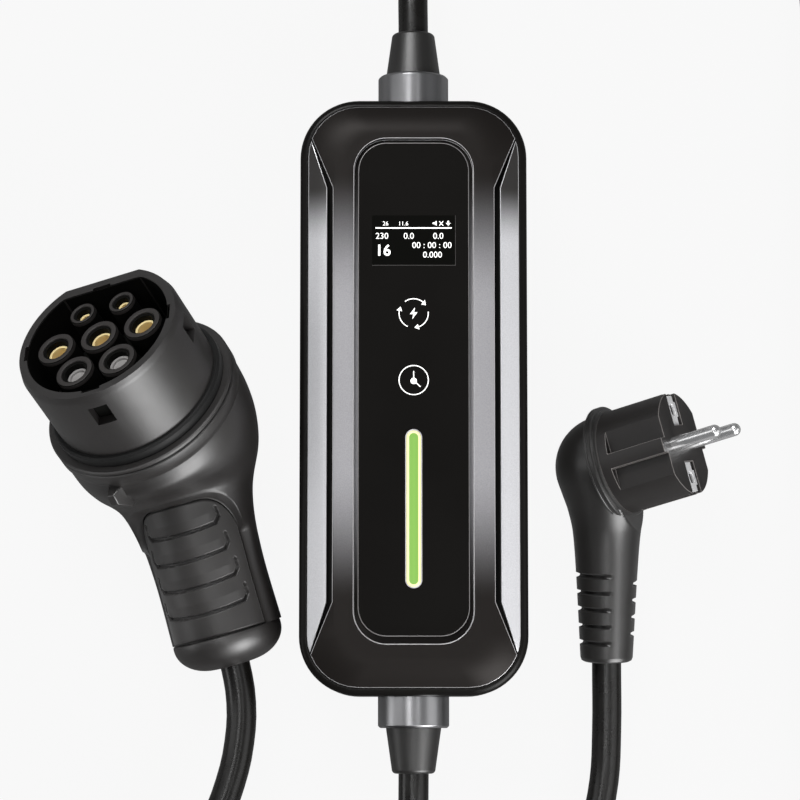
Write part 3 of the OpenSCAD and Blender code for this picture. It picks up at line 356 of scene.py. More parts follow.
class NodeGraph(NodeTree):
    """One node material while it is being put together."""

    def __init__(self, name: str) -> None:
        """Makes an empty material with a principled shader.

        Args:
            name: the material's name.
        """
        self.material = bpy.data.materials.new(name)
        self.material.use_nodes = True
        super().__init__(self.material.node_tree)
        self.shader = self.add("ShaderNodeBsdfPrincipled")
        self.add("ShaderNodeOutputMaterial", {0: self.shader.outputs[0]})
        self.place = self.add("ShaderNodeTexCoord").outputs["Object"]

    def put(self, **values: object) -> None:
        """Sets the shader's sockets, with their names written with underscores."""
        for key, value in values.items():
            self.fill(self.shader.inputs[key.replace("_", " ")], value)

    def noise(self, size: float, detail: float = 2.0, stretch: Point = (1, 1, 1)) -> Socket:
        """Noise whose blots are about size millimetres wide, scaled along each axis."""
        place = self.add("ShaderNodeMapping", {"Vector": self.place, "Scale": stretch}).outputs[0]
        return self.add("ShaderNodeTexNoise", {
            "Scale": 1 / (size * MM), "Detail": detail, "Vector": place}).outputs["Fac"]

    def cells(self, size: float) -> Socket:
        """Small closed cells, as in a spark-eroded mould's texture."""
        return self.add("ShaderNodeTexVoronoi", {
            "Scale": 1 / (size * MM), "Vector": self.place}).outputs["Distance"]

    def bricks(self, scale: float, joint: float, width: float) -> Socket:
        """A pattern of bricks, 1 in its joints."""
        return self.add("ShaderNodeTexBrick", {
            "Scale": scale, "Mortar Size": joint, "Brick Width": width, "Row Height": 0.3,
            "Vector": self.place}).outputs["Fac"]

    def ramp(self, value: Socket, stops: list[tuple[float, Colour]]) -> Socket:
        """Turns a value into a colour by a list of stops."""
        node = self.add("ShaderNodeValToRGB")
        band = node.color_ramp
        while len(band.elements) < len(stops):
            band.elements.new(0.5)
        for element, (place, colour) in zip(band.elements, stops):
            element.position = place
            element.color = (*colour, 1)
        self.link(value, node.inputs[0])
        return node.outputs["Color"]

    def span(self, value: Socket, low: float, high: float) -> Socket:
        """Maps 0..1 to low..high."""
        return self.add("ShaderNodeMapRange", {"Value": value, "To Min": low, "To Max": high}).outputs[0]

    def apart(self) -> bpy.types.NodeOutputs:
        """The place on the object along X, Y and Z."""
        return self.add("ShaderNodeSeparateXYZ", {0: self.place}).outputs

    def off_middle(self, y: float) -> Socket:
        """Distance along the object from a place on its length, in metres."""
        return self.maths("ABSOLUTE", self.maths("SUBTRACT", self.apart()["Y"], y * MM), 0.0)

    def relief(self, height: Socket, depth: float) -> None:
        """Bumps the surface by a height of depth millimetres."""
        bump = self.add("ShaderNodeBump", {"Distance": depth * MM, "Strength": 1.0, "Height": height})
        normal = self.shader.inputs["Normal"]
        if normal.is_linked:
            self.link(normal.links[0].from_socket, bump.inputs["Normal"])
        self.link(bump.outputs[0], normal)


def shade(colour: Colour, factor: float) -> Colour:
    """A lighter or darker colour of the same hue."""
    return tuple(min(1.0, c * factor) for c in colour)


@dataclass(frozen=True)
class Finish:
    """What a surface is made of: its material slot in the record, its colour and how rough it is."""

    slot: str
    colour: Colour
    roughness: float = 0.45
    tag: str = ""

    @property
    def name(self) -> str:
        """The material's name in Blender."""
        return f"{type(self).__name__}_{self.slot}{self.tag}"

    def material(self) -> bpy.types.Material:
        """The finish as a material, made once."""
        known = bpy.data.materials.get(self.name)
        if known:
            return known
        graph = NodeGraph(self.name)
        self.dress(graph)
        return graph.material

    def mottled(self, graph: NodeGraph, size: float, spread: float) -> None:
        """Gives the base colour a slight cloudiness."""
        graph.put(Base_Color=graph.ramp(graph.noise(size, 3.0), [
            (0.3, shade(self.colour, 1 - spread)), (0.7, shade(self.colour, 1 + spread))]))

    def uneven(self, graph: NodeGraph, size: float, detail: float, less: float, more: float) -> Socket:
        """A roughness that varies from a little less to a little more than the finish's own."""
        return graph.span(graph.noise(size, detail), self.roughness - less, self.roughness + more)

    def dress(self, graph: NodeGraph) -> None:
        """Fills the material's node graph; each kind of finish has its own way."""
        raise NotImplementedError


@dataclass(frozen=True)
class MouldedPlastic(Finish):
    """Injection-moulded plastic with the fine texture of a spark-eroded mould."""

    grain: float = 0.55
    depth: float = 0.012
    gloss: float = 0.5

    def dress(self, graph: NodeGraph) -> None:
        """Cloudy colour, fine closed grain and a roughness that varies a little."""
        self.mottled(graph, 22.0, 0.08)
        graph.put(Specular_IOR_Level=self.gloss, Roughness=self.uneven(graph, 6.0, 4.0, 0.05, 0.05))
        graph.relief(graph.cells(self.grain), self.depth)
        graph.relief(graph.noise(9.0, 1.0), 0.02)


@dataclass(frozen=True)
class SoftRubber(Finish):
    """Matt elastomer with a faint bloom and a very fine skin."""

    sheen: float = 0.15
    gloss: float = 0.5

    def dress(self, graph: NodeGraph) -> None:
        """Fine skin, faint dusting and soft edges of light."""
        self.mottled(graph, 12.0, 0.12)
        graph.put(Sheen_Weight=self.sheen, Sheen_Roughness=0.5, Specular_IOR_Level=self.gloss,
                  Roughness=self.uneven(graph, 4.0, 3.0, 0.06, 0.06))
        graph.relief(graph.noise(0.5, 3.0), 0.012)


@dataclass(frozen=True)
class CableJacket(Finish):
    """Extruded cable jacket, with the faint wave of its cores and shallow scuffs."""

    def dress(self, graph: NodeGraph) -> None:
        """Satin black with fine extrusion skin and a slight wave."""
        self.mottled(graph, 40.0, 0.1)
        graph.put(Specular_IOR_Level=0.55, Roughness=self.uneven(graph, 5.0, 4.0, 0.07, 0.07))
        graph.relief(graph.noise(14.0, 1.0), 0.12)
        graph.relief(graph.noise(0.6, 2.0), 0.01)


@dataclass(frozen=True)
class MetallicPaint(Finish):
    """Metal-flake paint under a clear coat; its colour may carry a painted reflection, bright round a middle
    and fading into painted shade towards both ends.
    """

    # ends, fade and centre_y paint a reflection into the colour: full colour round centre_y as a painted
    # highlight, the ends colour as painted shade.
    ends: Colour = (0.0, 0.0, 0.0)
    fade: tuple[float, float] = (0.0, 0.0)
    centre_y: float = 0.0
    flake: float = 0.35
    metallic: float = 0.85
    coat: float = 0.4
    gloss: float = 0.5

    def dress(self, graph: NodeGraph) -> None:
        """Flake sparkle in colour and roughness, under a coat; a painted reflection may fade the colour into
        painted shade towards both ends.
        """
        flakes = graph.noise(self.flake, 1.0)
        tint = graph.ramp(flakes, [(0.35, shade(self.colour, 0.93)), (0.65, shade(self.colour, 1.07))])
        # Painted reflection: the colour fades from full round centre_y into the painted shade of ends.
        if self.fade[1] > 0:
            inner, outer = self.fade
            share = graph.add("ShaderNodeMapRange", {
                "Value": graph.off_middle(self.centre_y), "From Min": inner * MM, "From Max": outer * MM},
                interpolation_type="SMOOTHSTEP").outputs[0]
            tint = graph.add("ShaderNodeMix", {0: share, 6: tint, 7: self.ends}, data_type="RGBA").outputs[2]
        graph.put(Base_Color=tint, Metallic=self.metallic, Specular_IOR_Level=self.gloss,
                  Coat_Weight=self.coat, Coat_Roughness=0.12,
                  Roughness=graph.span(flakes, self.roughness - 0.04, self.roughness + 0.04))
        graph.relief(flakes, 0.002)


@dataclass(frozen=True)
class PolishedPanel(Finish):
    """Clear-coated front panel, printed black from behind."""

    gloss: float = 0.3

    def dress(self, graph: NodeGraph) -> None:
        """Nearly a mirror, with faint handling haze."""
        self.mottled(graph, 60.0, 0.15)
        graph.put(Specular_IOR_Level=self.gloss, Roughness=self.uneven(graph, 25.0, 5.0, 0.02, 0.05))
        graph.relief(graph.noise(18.0, 1.0), 0.004)


class Grind(Enum):
    """Which way a metal surface was worked, as how far its marks are drawn out along each axis."""

    ROUND_Y = (0.04, 1.0, 0.04)
    NONE = (1.0, 1.0, 1.0)


@dataclass(frozen=True)
class PlatedMetal(Finish):
    """Turned or pressed metal with a plated surface."""

    grind: Grind = Grind.NONE
    depth: float = 0.001
    metallic: float = 1.0
    wear: float = 1.0

    def dress(self, graph: NodeGraph) -> None:
        """Fine tool marks, slight tarnish and a varying polish."""
        self.mottled(graph, 5.0, 0.06 * self.wear)
        marks = graph.noise(0.35, 2.0, self.grind.value)
        low = max(0.02, self.roughness - 0.06 * self.wear)
        graph.put(Metallic=self.metallic, Roughness=graph.span(marks, low, self.roughness + 0.08 * self.wear))
        graph.relief(marks, self.depth)


@dataclass(frozen=True)
class CircuitBoard(Finish):
    """Glass-fibre board under solder resist, with tracks showing through."""

    def dress(self, graph: NodeGraph) -> None:
        """Two greens in a pattern of tracks, raised a little."""
        tracks = graph.bricks(140.0, 0.03, 0.9)
        graph.put(Base_Color=graph.ramp(tracks, [(0.0, self.colour), (1.0, shade(self.colour, 1.7))]),
                  Roughness=self.roughness, Coat_Weight=0.3)
        graph.relief(tracks, 0.03)


@dataclass(frozen=True)
class WoundTape(Finish):
    """Coil tape wound in overlapping layers."""

    def dress(self, graph: NodeGraph) -> None:
        """Bands across the height, with soft edges."""
        layers = graph.add("ShaderNodeTexWave", {"Scale": 180.0, "Distortion": 0.6, "Vector": graph.place},
                           bands_direction="Z").outputs["Fac"]
        graph.put(Base_Color=graph.ramp(layers, [(0.2, shade(self.colour, 0.8)), (0.8, self.colour)]),
                  Roughness=self.roughness)
        graph.relief(layers, 0.05)


@dataclass(frozen=True)
class WovenStrap(Finish):
    """Woven hook-and-loop strap."""

    def dress(self, graph: NodeGraph) -> None:
        """Two crossed thread directions, with lint."""
        weave = graph.bricks(700.0, 0.06, 0.6)
        lint = graph.maths("ADD", weave, graph.noise(0.8, 3.0))
        tint = graph.ramp(lint, [(0.3, shade(self.colour, 0.6)), (1.0, shade(self.colour, 1.5))])
        graph.put(Base_Color=tint, Roughness=self.roughness, Sheen_Weight=0.4)
        graph.relief(weave, 0.15)


@dataclass(frozen=True)
class LitDiffuser(Finish):
    """Milky light guide, lit from inside: brighter along its edges than over its middle."""

    edge: Colour = (1.0, 0.95, 0.45)
    half_width: float = 2.6
    half_length: float = 28.25
    centre_y: float = -41.8
    strength: float = 0.9

    def dress(self, graph: NodeGraph) -> None:
        """Distance from the bar's middle line turns green into the pale colour of its edge."""
        across = graph.maths("ABSOLUTE", graph.apart()["X"], 0.0)
        straight = (self.half_length - self.half_width) * MM
        past = graph.maths("MAXIMUM", graph.maths("SUBTRACT", graph.off_middle(self.centre_y), straight), 0.0)
        squares = [graph.maths("MULTIPLY", side, side) for side in (across, past)]
        reach = graph.maths("POWER", graph.maths("ADD", *squares), 0.5)
        share = graph.maths("DIVIDE", reach, self.half_width * MM)
        tint = graph.ramp(share, [(0.0, shade(self.colour, 1.06)), (0.6, self.colour), (0.72, self.edge),
                                  (1.0, shade(self.edge, 0.8))])
        graph.put(Base_Color=tint, Emission_Color=tint, Emission_Strength=self.strength, Roughness=0.25)
        graph.relief(graph.noise(3.0, 2.0), 0.01)


@dataclass(frozen=True)
class LitMark(Finish):
    """Back-lit white mark or figure."""

    strength: float = 0.85

    def dress(self, graph: NodeGraph) -> None:
        """White that varies very slightly, as on a small screen."""
        tint = graph.ramp(graph.noise(0.6, 1.0), [(0.0, shade(self.colour, 0.9)), (1.0, self.colour)])
        graph.put(Base_Color=tint, Emission_Color=tint, Emission_Strength=self.strength, Roughness=0.3)


class Finishes:
    """All finishes of the lead, by what they are used on."""

    CASE = MouldedPlastic("case_black", (0.006, 0.0055, 0.005), 0.3, gloss=0.12, depth=0.003)
    SEAL = SoftRubber("seal_rubber", (0.004, 0.004, 0.004), 0.55, sheen=0.05, gloss=0.3)
    STEEL = PlatedMetal("steel", (0.55, 0.55, 0.57), 0.3)
    # Painted reflection: the bezel's colour is bright round its middle and fades to painted shade towards
    # both ends.
    BEZEL = MetallicPaint("bezel_graphite", (0.34, 0.335, 0.35), 0.45, ends=(0.014, 0.012, 0.011),
                          fade=(28.0, 78.0), centre_y=3.0, metallic=0.35, coat=0.0, gloss=0.15)
    # The edge finishes are lighter than their surfaces and go on bevelled edges as painted highlights.
    BEZEL_EDGE = MetallicPaint("bezel_graphite", (0.6, 0.59, 0.6), 0.4, tag="_edge", metallic=0.4, coat=0.0)
    PANEL_EDGE = MetallicPaint("panel_gloss", (0.24, 0.23, 0.23), 0.4, tag="_edge", metallic=0.3, coat=0.0)
    # Painted reflection: the trims' silver fades to painted shade towards the top end.
    TRIM = MetallicPaint("trim_silver", (0.6, 0.6, 0.62), 0.45, ends=(0.03, 0.028, 0.027), fade=(84.0, 106.0),
                         centre_y=-30.0, metallic=0.35, coat=0.0)
    # Painted highlight on the trims' bevelled edges.
    TRIM_EDGE = MetallicPaint("trim_silver", (0.6, 0.6, 0.61), 0.4, tag="_edge", metallic=0.6, coat=0.0)
    PANEL = PolishedPanel("panel_gloss", (0.006, 0.0055, 0.005), 0.12, gloss=0.3)
    WINDOW = PolishedPanel("display_glass", (0.003, 0.003, 0.0025), 0.08, gloss=0.25)
    BAR = LitDiffuser("light_green", (0.18, 0.36, 0.07), 0.3, strength=0.32)
    MARK = LitMark("display_glass", (0.95, 0.95, 0.93), 0.3, tag="_mark")
    COPPER = PlatedMetal("copper", (0.72, 0.42, 0.24), 0.3)
    BOARD = CircuitBoard("board_green", (0.012, 0.10, 0.035), 0.35)
    RELAY = MouldedPlastic("relay_black", (0.02, 0.02, 0.02), 0.45)
    TAPE = WoundTape("transformer_yellow", (0.72, 0.5, 0.06), 0.4)
    SENSOR = MouldedPlastic("sensor_blue", (0.03, 0.06, 0.25), 0.4)
    COLLAR = PlatedMetal("collar_metal", (0.38, 0.38, 0.39), 0.3, grind=Grind.ROUND_Y, metallic=1.0, wear=0.3,
                         depth=0.0005)
    BOOT = SoftRubber("boot_rubber", (0.006, 0.0055, 0.005), 0.42, sheen=0.05, gloss=0.9)
    BODY = MouldedPlastic("connector_black", (0.014, 0.0125, 0.012), 0.42, gloss=1.0, depth=0.006)
    # The carrier's black plastic, made darker and duller than the body so that the cavity reads black: real
    # black with painted shade.
    CARRIER = MouldedPlastic("carrier_black", (0.0025, 0.0025, 0.002), 0.7, gloss=0.1)
    # Painted highlight: a lighter copy of the carrier's black, for the sleeves' mouths and thin lit lines.
    SLEEVE = MouldedPlastic("carrier_black", (0.028, 0.025, 0.024), 0.45, tag="_sleeve", gloss=0.5)
    GOLD = PlatedMetal("gold", (1.0, 0.79, 0.40), 0.35, metallic=0.05)
    BLANK = MouldedPlastic("blank_grey", (0.30, 0.29, 0.285), 0.4)
    GRIP = SoftRubber("grip_rubber", (0.016, 0.0145, 0.0138), 0.44, sheen=0.16, gloss=0.7)
    PLUG = MouldedPlastic("plug_black", (0.014, 0.0125, 0.012), 0.42, gloss=0.5, depth=0.006)
    # Painted highlight: a lighter copy of the plug's black for its bevelled edges.
    PLUG_EDGE = MouldedPlastic("plug_black", (0.14, 0.13, 0.125), 0.4, tag="_edge", depth=0.002)
    CHROME = PlatedMetal("pin_chrome", (0.95, 0.95, 0.96), 0.22, metallic=0.9)
    CLIP = PlatedMetal("pin_chrome", (0.85, 0.85, 0.86), 0.3, tag="_clip", metallic=0.4)
    COVER = SoftRubber("plug_rubber", (0.008, 0.0073, 0.0068), 0.36, sheen=0.12, gloss=0.8)
    CABLE = CableJacket("cable_black", (0.005, 0.0045, 0.004), 0.28)
    STRAP = WovenStrap("tie_black", (0.03, 0.03, 0.03), 0.8)


# Making pieces


class Workshop:
    """Makes mesh pieces from points in millimetres, dresses them and sets them on the root body."""

    @staticmethod
    def adopt(piece: Piece, finish: Finish, stands_for: tuple[str, ...] = ()) -> Piece:
        """Gives a piece its finish, its body and the nodes that it stands for."""
        piece.data.materials.clear()
        piece.data.materials.append(finish.material())
        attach(piece, "root")
        if stands_for:
            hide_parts(*stands_for)
        return piece

    @classmethod
    def piece(cls, name: str, points: np.ndarray, faces: Faces, finish: Finish,
              stands_for: tuple[str, ...] = (), crease: float = 32.0) -> Piece:
        """Makes a mesh piece from faces that close it.

        Args:
            name: the piece's name.
            points: its points, in millimetres in the row frame.
            faces: its faces, as numbers of points.
            finish: what it is made of.
            stands_for: the CAD nodes that it replaces.
            crease: edges sharper than this many degrees stay sharp.

        Returns:
            The piece, riding on the root body.
        """
        mesh = bpy.data.meshes.new(name)
        mesh.from_pydata((np.asarray(points, float).reshape(-1, 3) * MM).tolist(), [], faces)
        work = bmesh.new()
        work.from_mesh(mesh)
        bmesh.ops.remove_doubles(work, verts=work.verts, dist=1e-7)
        bmesh.ops.recalc_face_normals(work, faces=work.faces)
        work.to_mesh(mesh)
        work.free()
        mesh.validate()
        mesh.shade_smooth()
        mesh.set_sharp_from_angle(angle=math.radians(crease))
        return cls.adopt(new_object(name, mesh), finish, stands_for)

    @staticmethod
    def strip_faces(rows: int, columns: int, round_: bool, start: int = 0) -> Faces:
        """Quads over a grid of points, whose rows may close into rings."""
        last = columns if round_ else columns - 1
        return [(start + i * columns + j, start + i * columns + (j + 1) % columns,
                 start + (i + 1) * columns + (j + 1) % columns, start + (i + 1) * columns + j)
                for i in range(rows - 1) for j in range(last)]

    @classmethod
    def closed_strip(cls, rows: int, columns: int) -> Faces:
        """Quads over rings of points, whose last ring joins the first."""
        last = (rows - 1) * columns
        return cls.strip_faces(rows, columns, True) + [
            (last + j, last + (j + 1) % columns, (j + 1) % columns, j) for j in range(columns)]

    @classmethod
    def double_skin(cls, rows: int, columns: int, round_: bool) -> Faces:
        """Quads over two like grids of points, one behind the other and joined along their open edges."""
        back = rows * columns
        faces = cls.strip_faces(rows, columns, round_) + cls.strip_faces(rows, columns, round_, back)
        edges = [[(row * columns + j, row * columns + (j + 1) % columns)
                  for j in range(columns if round_ else columns - 1)] for row in (0, rows - 1)]
        if not round_:
            edges += [[(i * columns + column, (i + 1) * columns + column) for i in range(rows - 1)]
                      for column in (0, columns - 1)]
        return faces + [(a, b, back + b, back + a) for edge in edges for a, b in edge]

    @classmethod
    def tube(cls, name: str, rings: np.ndarray, finish: Finish, stands_for: tuple[str, ...] = (),
             crease: float = 32.0) -> Piece:
        """A closed solid through rings of points, (rings, points, 3)."""
        m, n = rings.shape[:2]
        faces = cls.strip_faces(m, n, True)
        faces += [tuple(range(n)), tuple(range((m - 1) * n, m * n))]
        return cls.piece(name, rings, faces, finish, stands_for, crease)

    @classmethod
    def turned(cls, name: str, profile: list[tuple[float, float]], place: Placement, finish: Finish,
               stands_for: tuple[str, ...] = (), steps: int = 96) -> Piece:
        """A turned ring whose profile, as radii and heights, closes on itself."""
        a = circle(steps)
        rings = place.at(np.array([
            np.stack([r * np.cos(a), r * np.sin(a), np.full(steps, z)], -1) for r, z in profile]))
        return cls.piece(name, rings, cls.closed_strip(len(profile), steps), finish, stands_for)

    @classmethod
    def joined(cls, name: str, parts: list[Piece], finish: Finish) -> Piece:
        """Joins pieces of one finish into one piece."""
        work = bmesh.new()
        for part in parts:
            work.from_mesh(part.data)
        mesh = bpy.data.meshes.new(name)
        work.to_mesh(mesh)
        work.free()
        for part in parts:
            bpy.data.objects.remove(part)
        return cls.adopt(new_object(name, mesh), finish)

    @staticmethod
    def soft_edge_group(limit: float) -> bpy.types.NodeTree:
        """A geometry-node group that shades smooth and keeps edges above the limit, in degrees, sharp."""
        name = f"soft_edges_{limit:.0f}"
        known = bpy.data.node_groups.get(name)
        if known:
            return known
        tree = bpy.data.node_groups.new(name, "GeometryNodeTree")
        tree.interface.new_socket("Geometry", in_out="INPUT", socket_type="NodeSocketGeometry")
        tree.interface.new_socket("Geometry", in_out="OUTPUT", socket_type="NodeSocketGeometry")
        graph = NodeTree(tree)
        start = graph.add("NodeGroupInput")
        faces = graph.add("GeometryNodeSetShadeSmooth", {0: start.outputs[0]})
        angle = graph.add("GeometryNodeInputMeshEdgeAngle")
        above = graph.add("FunctionNodeCompare", {"A": angle.outputs[0], "B": math.radians(limit)},
                          data_type="FLOAT", operation="GREATER_THAN")
        edges = graph.add("GeometryNodeSetShadeSmooth", {
            0: faces.outputs[0], "Selection": above.outputs[0], "Shade Smooth": False}, domain="EDGE")
        graph.add("NodeGroupOutput", {0: edges.outputs[0]})
        return tree

    @classmethod
    def dress_node(cls, node: str, finish: Finish, edge: float = 0.25, smooth: float = 32.0,
                   bevel_above: float = 40.0, rim: Finish | None = None) -> Piece:
        """Dresses a CAD node: its mesh stays, modifiers round its edges and a material covers it.

        Args:
            node: the node's name.
            finish: what it is made of.
            edge: width of the small radius on its edges, in millimetres; 0 leaves them sharp.
            smooth: edges below this angle are shaded smooth, in degrees.
            bevel_above: edges above this angle get the radius, in degrees.
            rim: a lighter finish for the radius, a painted highlight along the edges.

        Returns:
            The node's object.
        """
        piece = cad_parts[node]
        for slot in piece.material_slots:
            slot.material = finish.material()
        new_modifier(piece, "weld", "WELD", merge_threshold=2e-6)
        new_modifier(piece, "flat_faces", "DECIMATE", decimate_type="DISSOLVE", angle_limit=math.radians(0.5))
        if edge > 0:
            bevel = new_modifier(piece, "edge_radius", "BEVEL", width=edge * MM, segments=2,
                                 limit_method="ANGLE", angle_limit=math.radians(bevel_above))
            # The lighter rim finish goes on the bevel: a painted highlight along the edges.
            if rim:
                piece.data.materials.append(rim.material())
                bevel.material = len(piece.data.materials) - 1
        new_modifier(piece, "soft_edges", "NODES", node_group=cls.soft_edge_group(smooth))
        new_modifier(piece, "even_shading", "WEIGHTED_NORMAL", keep_sharp=True, weight=100)
        return piece

    @classmethod
    def dress_nodes(cls, edge: float, **finishes: Finish) -> list[Piece]:
        """Dresses several CAD nodes whose edges have the same small radius."""
        return [cls.dress_node(node, finish, edge) for node, finish in finishes.items()]

    @classmethod
    def cord(cls, name: str, route: np.ndarray, diameter: float, finish: Finish,
             stands_for: tuple[str, ...], steps: int = 4) -> Piece:
        """A cable as a curve of one open spline through its route's points, in millimetres."""
        curve = bpy.data.curves.new(name, "CURVE")
        curve.dimensions = "3D"
        curve.bevel_depth = diameter / 2 * MM
        curve.bevel_resolution = 6
        curve.resolution_u = steps
        curve.use_fill_caps = True
        spline = curve.splines.new("BEZIER")
        spline.bezier_points.add(len(route) - 1)
        for knot, place in zip(spline.bezier_points, route):
            knot.co = Vector(place) * MM
            knot.handle_left_type = knot.handle_right_type = "AUTO"
        return cls.adopt(new_object(name, curve), finish, stands_for)


# Studio


@dataclass
class Studio:
    """Camera, lamps and floor."""

    scale: float = 2.766
    distance: float = 1100.0
    tilt: float = 6.0
    picture: float = 800.0
    middle: tuple[float, float] = (413.7, 393.0)
    face_height: float = 46.0
    sensor: float = 36.0
    surround: float = 0.08
    floor_glow: float = 0.92
    floor_reach: float = 6.0

    def camera(self) -> Piece:
        """Sets the camera so that the box's face lies where the photograph has it."""
        tilt = math.radians(self.tilt)
        back = Vector((0, -math.sin(tilt), math.cos(tilt)))
        up = Vector((0, math.cos(tilt), math.sin(tilt)))
        aim = Vector((0, 0, self.face_height))
        half = self.picture / 2
        aim -= Vector((1, 0, 0)) * (self.middle[0] - half) / self.scale
        aim -= up * (half - self.middle[1]) / self.scale
        data = bpy.data.cameras.new("camera")
        data.sensor_width = self.sensor
        data.lens = self.scale * self.distance * self.sensor / self.picture
        data.clip_start, data.clip_end = 0.01, 20.0
        made = new_object("camera", data)
        made.location = (aim + back * self.distance) * MM
        made.rotation_euler = (tilt, 0, 0)
        bpy.context.scene.camera = made
        return made

    def lamp(self, name: str, place: Point, aim: Point, size: tuple[float, float], watts: float) -> None:
        """Adds a soft rectangular lamp."""
        data = bpy.data.lights.new(name, "AREA")
        data.shape = "RECTANGLE"
        data.size, data.size_y = size
        data.energy = watts
        made = new_object(name, data)
        made.location = place
        made.rotation_euler = (Vector(aim) - Vector(place)).to_track_quat("-Z", "Y").to_euler()

    def light(self) -> None:
        """Soft lamps on both sides and behind, with a dim even surround."""
        for lamp in (
                ("left_softbox", (-1.2, 0.1, 0.8), (0, 0, 0.03), (0.5, 1.2), 1.9),
                ("right_softbox", (1.3, -0.1, 0.7), (-0.05, 0, 0.03), (0.6, 1.0), 1.7),
                ("left_low", (-1.3, -0.35, 0.25), (-0.1, -0.05, 0.04), (0.5, 0.4), 1.2),
                ("left_strip", (-0.38, 0.0, 1.45), (-0.05, 0, 0.03), (0.9, 0.14), 2.4),
                ("right_strip", (0.38, 0.0, 1.45), (0.05, 0, 0.03), (0.9, 0.14), 0.9),
                ("far_overhead", (0.0, 0.9, 1.3), (0, 0.14, 0.03), (0.25, 0.25), 1.6),
                ("near_overhead", (0.0, -0.5, 1.35), (0, -0.13, 0.03), (0.2, 0.2), 1.1),
                ("top_softbox", (-0.5, 1.1, 1.25), (-0.12, 0, 0.05), (0.8, 0.5), 18.0),
                ("key_right", (0.8, -1.0, 0.68), (-0.05, 0, 0.04), (0.9, 1.0), 26.0),
                ("low_front", (0.5, -1.15, 0.17), (-0.11, 0, 0.05), (0.6, 0.32), 1.2)):
            self.lamp(*lamp)
        world = bpy.data.worlds.new("surround")
        bpy.context.scene.world = world
        world.use_nodes = True
        graph = NodeTree(world.node_tree)
        dim = graph.add("ShaderNodeBackground", {"Color": (0.95, 0.97, 1.0), "Strength": self.surround})
        white = graph.add("ShaderNodeBackground", {"Strength": 1.0})
        graph.add("ShaderNodeOutputWorld", {0: graph.seen_straight(dim.outputs[0], white.outputs[0], 1.0)})

    def floor(self) -> None:
        """A plain pale table that shows white, and keeps the object's shadow."""
        mesh = bpy.data.meshes.new("floor")
        far = self.floor_reach
        mesh.from_pydata([(-far, -far, 0), (far, -far, 0), (far, far, 0), (-far, far, 0)], [], [(0, 1, 2, 3)])
        made = new_object("floor", mesh)
        material = bpy.data.materials.new("pale_floor")
        material.use_nodes = True
        graph = NodeTree(material.node_tree)
        plain = graph.add("ShaderNodeBsdfDiffuse", {"Color": (0.2, 0.2, 0.2)})
        glow = graph.add("ShaderNodeEmission", {"Strength": 1.0})
        mixed = graph.seen_straight(plain.outputs[0], glow.outputs[0], self.floor_glow)
        graph.add("ShaderNodeOutputMaterial", {0: mixed})
        made.data.materials.append(material)


# Cords


@dataclass
class MainsLead:
    """The cable from the control box to the mains plug."""

    diameter: float = 11.0
    sunk: float = 9.0
    route: list[Point] = field(default_factory=lambda: [
        (0, 128, 24), (0, 137, 24), (0, 157, 22.5), (1.5, 176, 17.5), (8, 194, 10.8), (22, 210, 7.0),
        (46, 220.9, 5.8), (66, 223.5, 5.6), (87.6, 223, 5.6), (112.5, 218.1, 5.6), (133.6, 204, 5.6),
        (147.5, 182.9, 5.6), (152.2, 158, 5.6), (152.6, 133, 5.6), (152.6, 90, 5.6), (152.6, 45, 5.6),
        (152.6, 0, 5.6), (152.6, -45, 5.6), (152.6, -90, 5.6), (152.6, -135, 5.6), (152.6, -165, 5.6),
        (152.25, -187, 5.6), (149, -204.4, 5.5), (139.3, -219.2, 5.5), (124.5, -229, 5.5),
        (107.1, -232.5, 5.5), (89.7, -229, 5.5), (74.9, -219.2, 5.5), (65.1, -204.4, 5.5),
        (61.6, -187, 5.5), (66.5, -160, 5.5), (70.5, -140, 5.7), (71.5, -122, 7)])

    def build(self, plug_pieces: list[Piece], neck: Placement) -> Piece:
        """Lays the cable from its boot to the plug's neck.

        Args:
            plug_pieces: the pieces of the plug on its end; not used.
            neck: the frame at the neck's end, with its axis out of the plug.

        Returns:
            The cable.
        """
        route = np.array([*self.route, neck.origin, neck.origin - neck.out * self.sunk])
        lead = Workshop.cord("mains_lead", route, self.diameter, Finishes.CABLE, ("mains_cord",))
        return lead


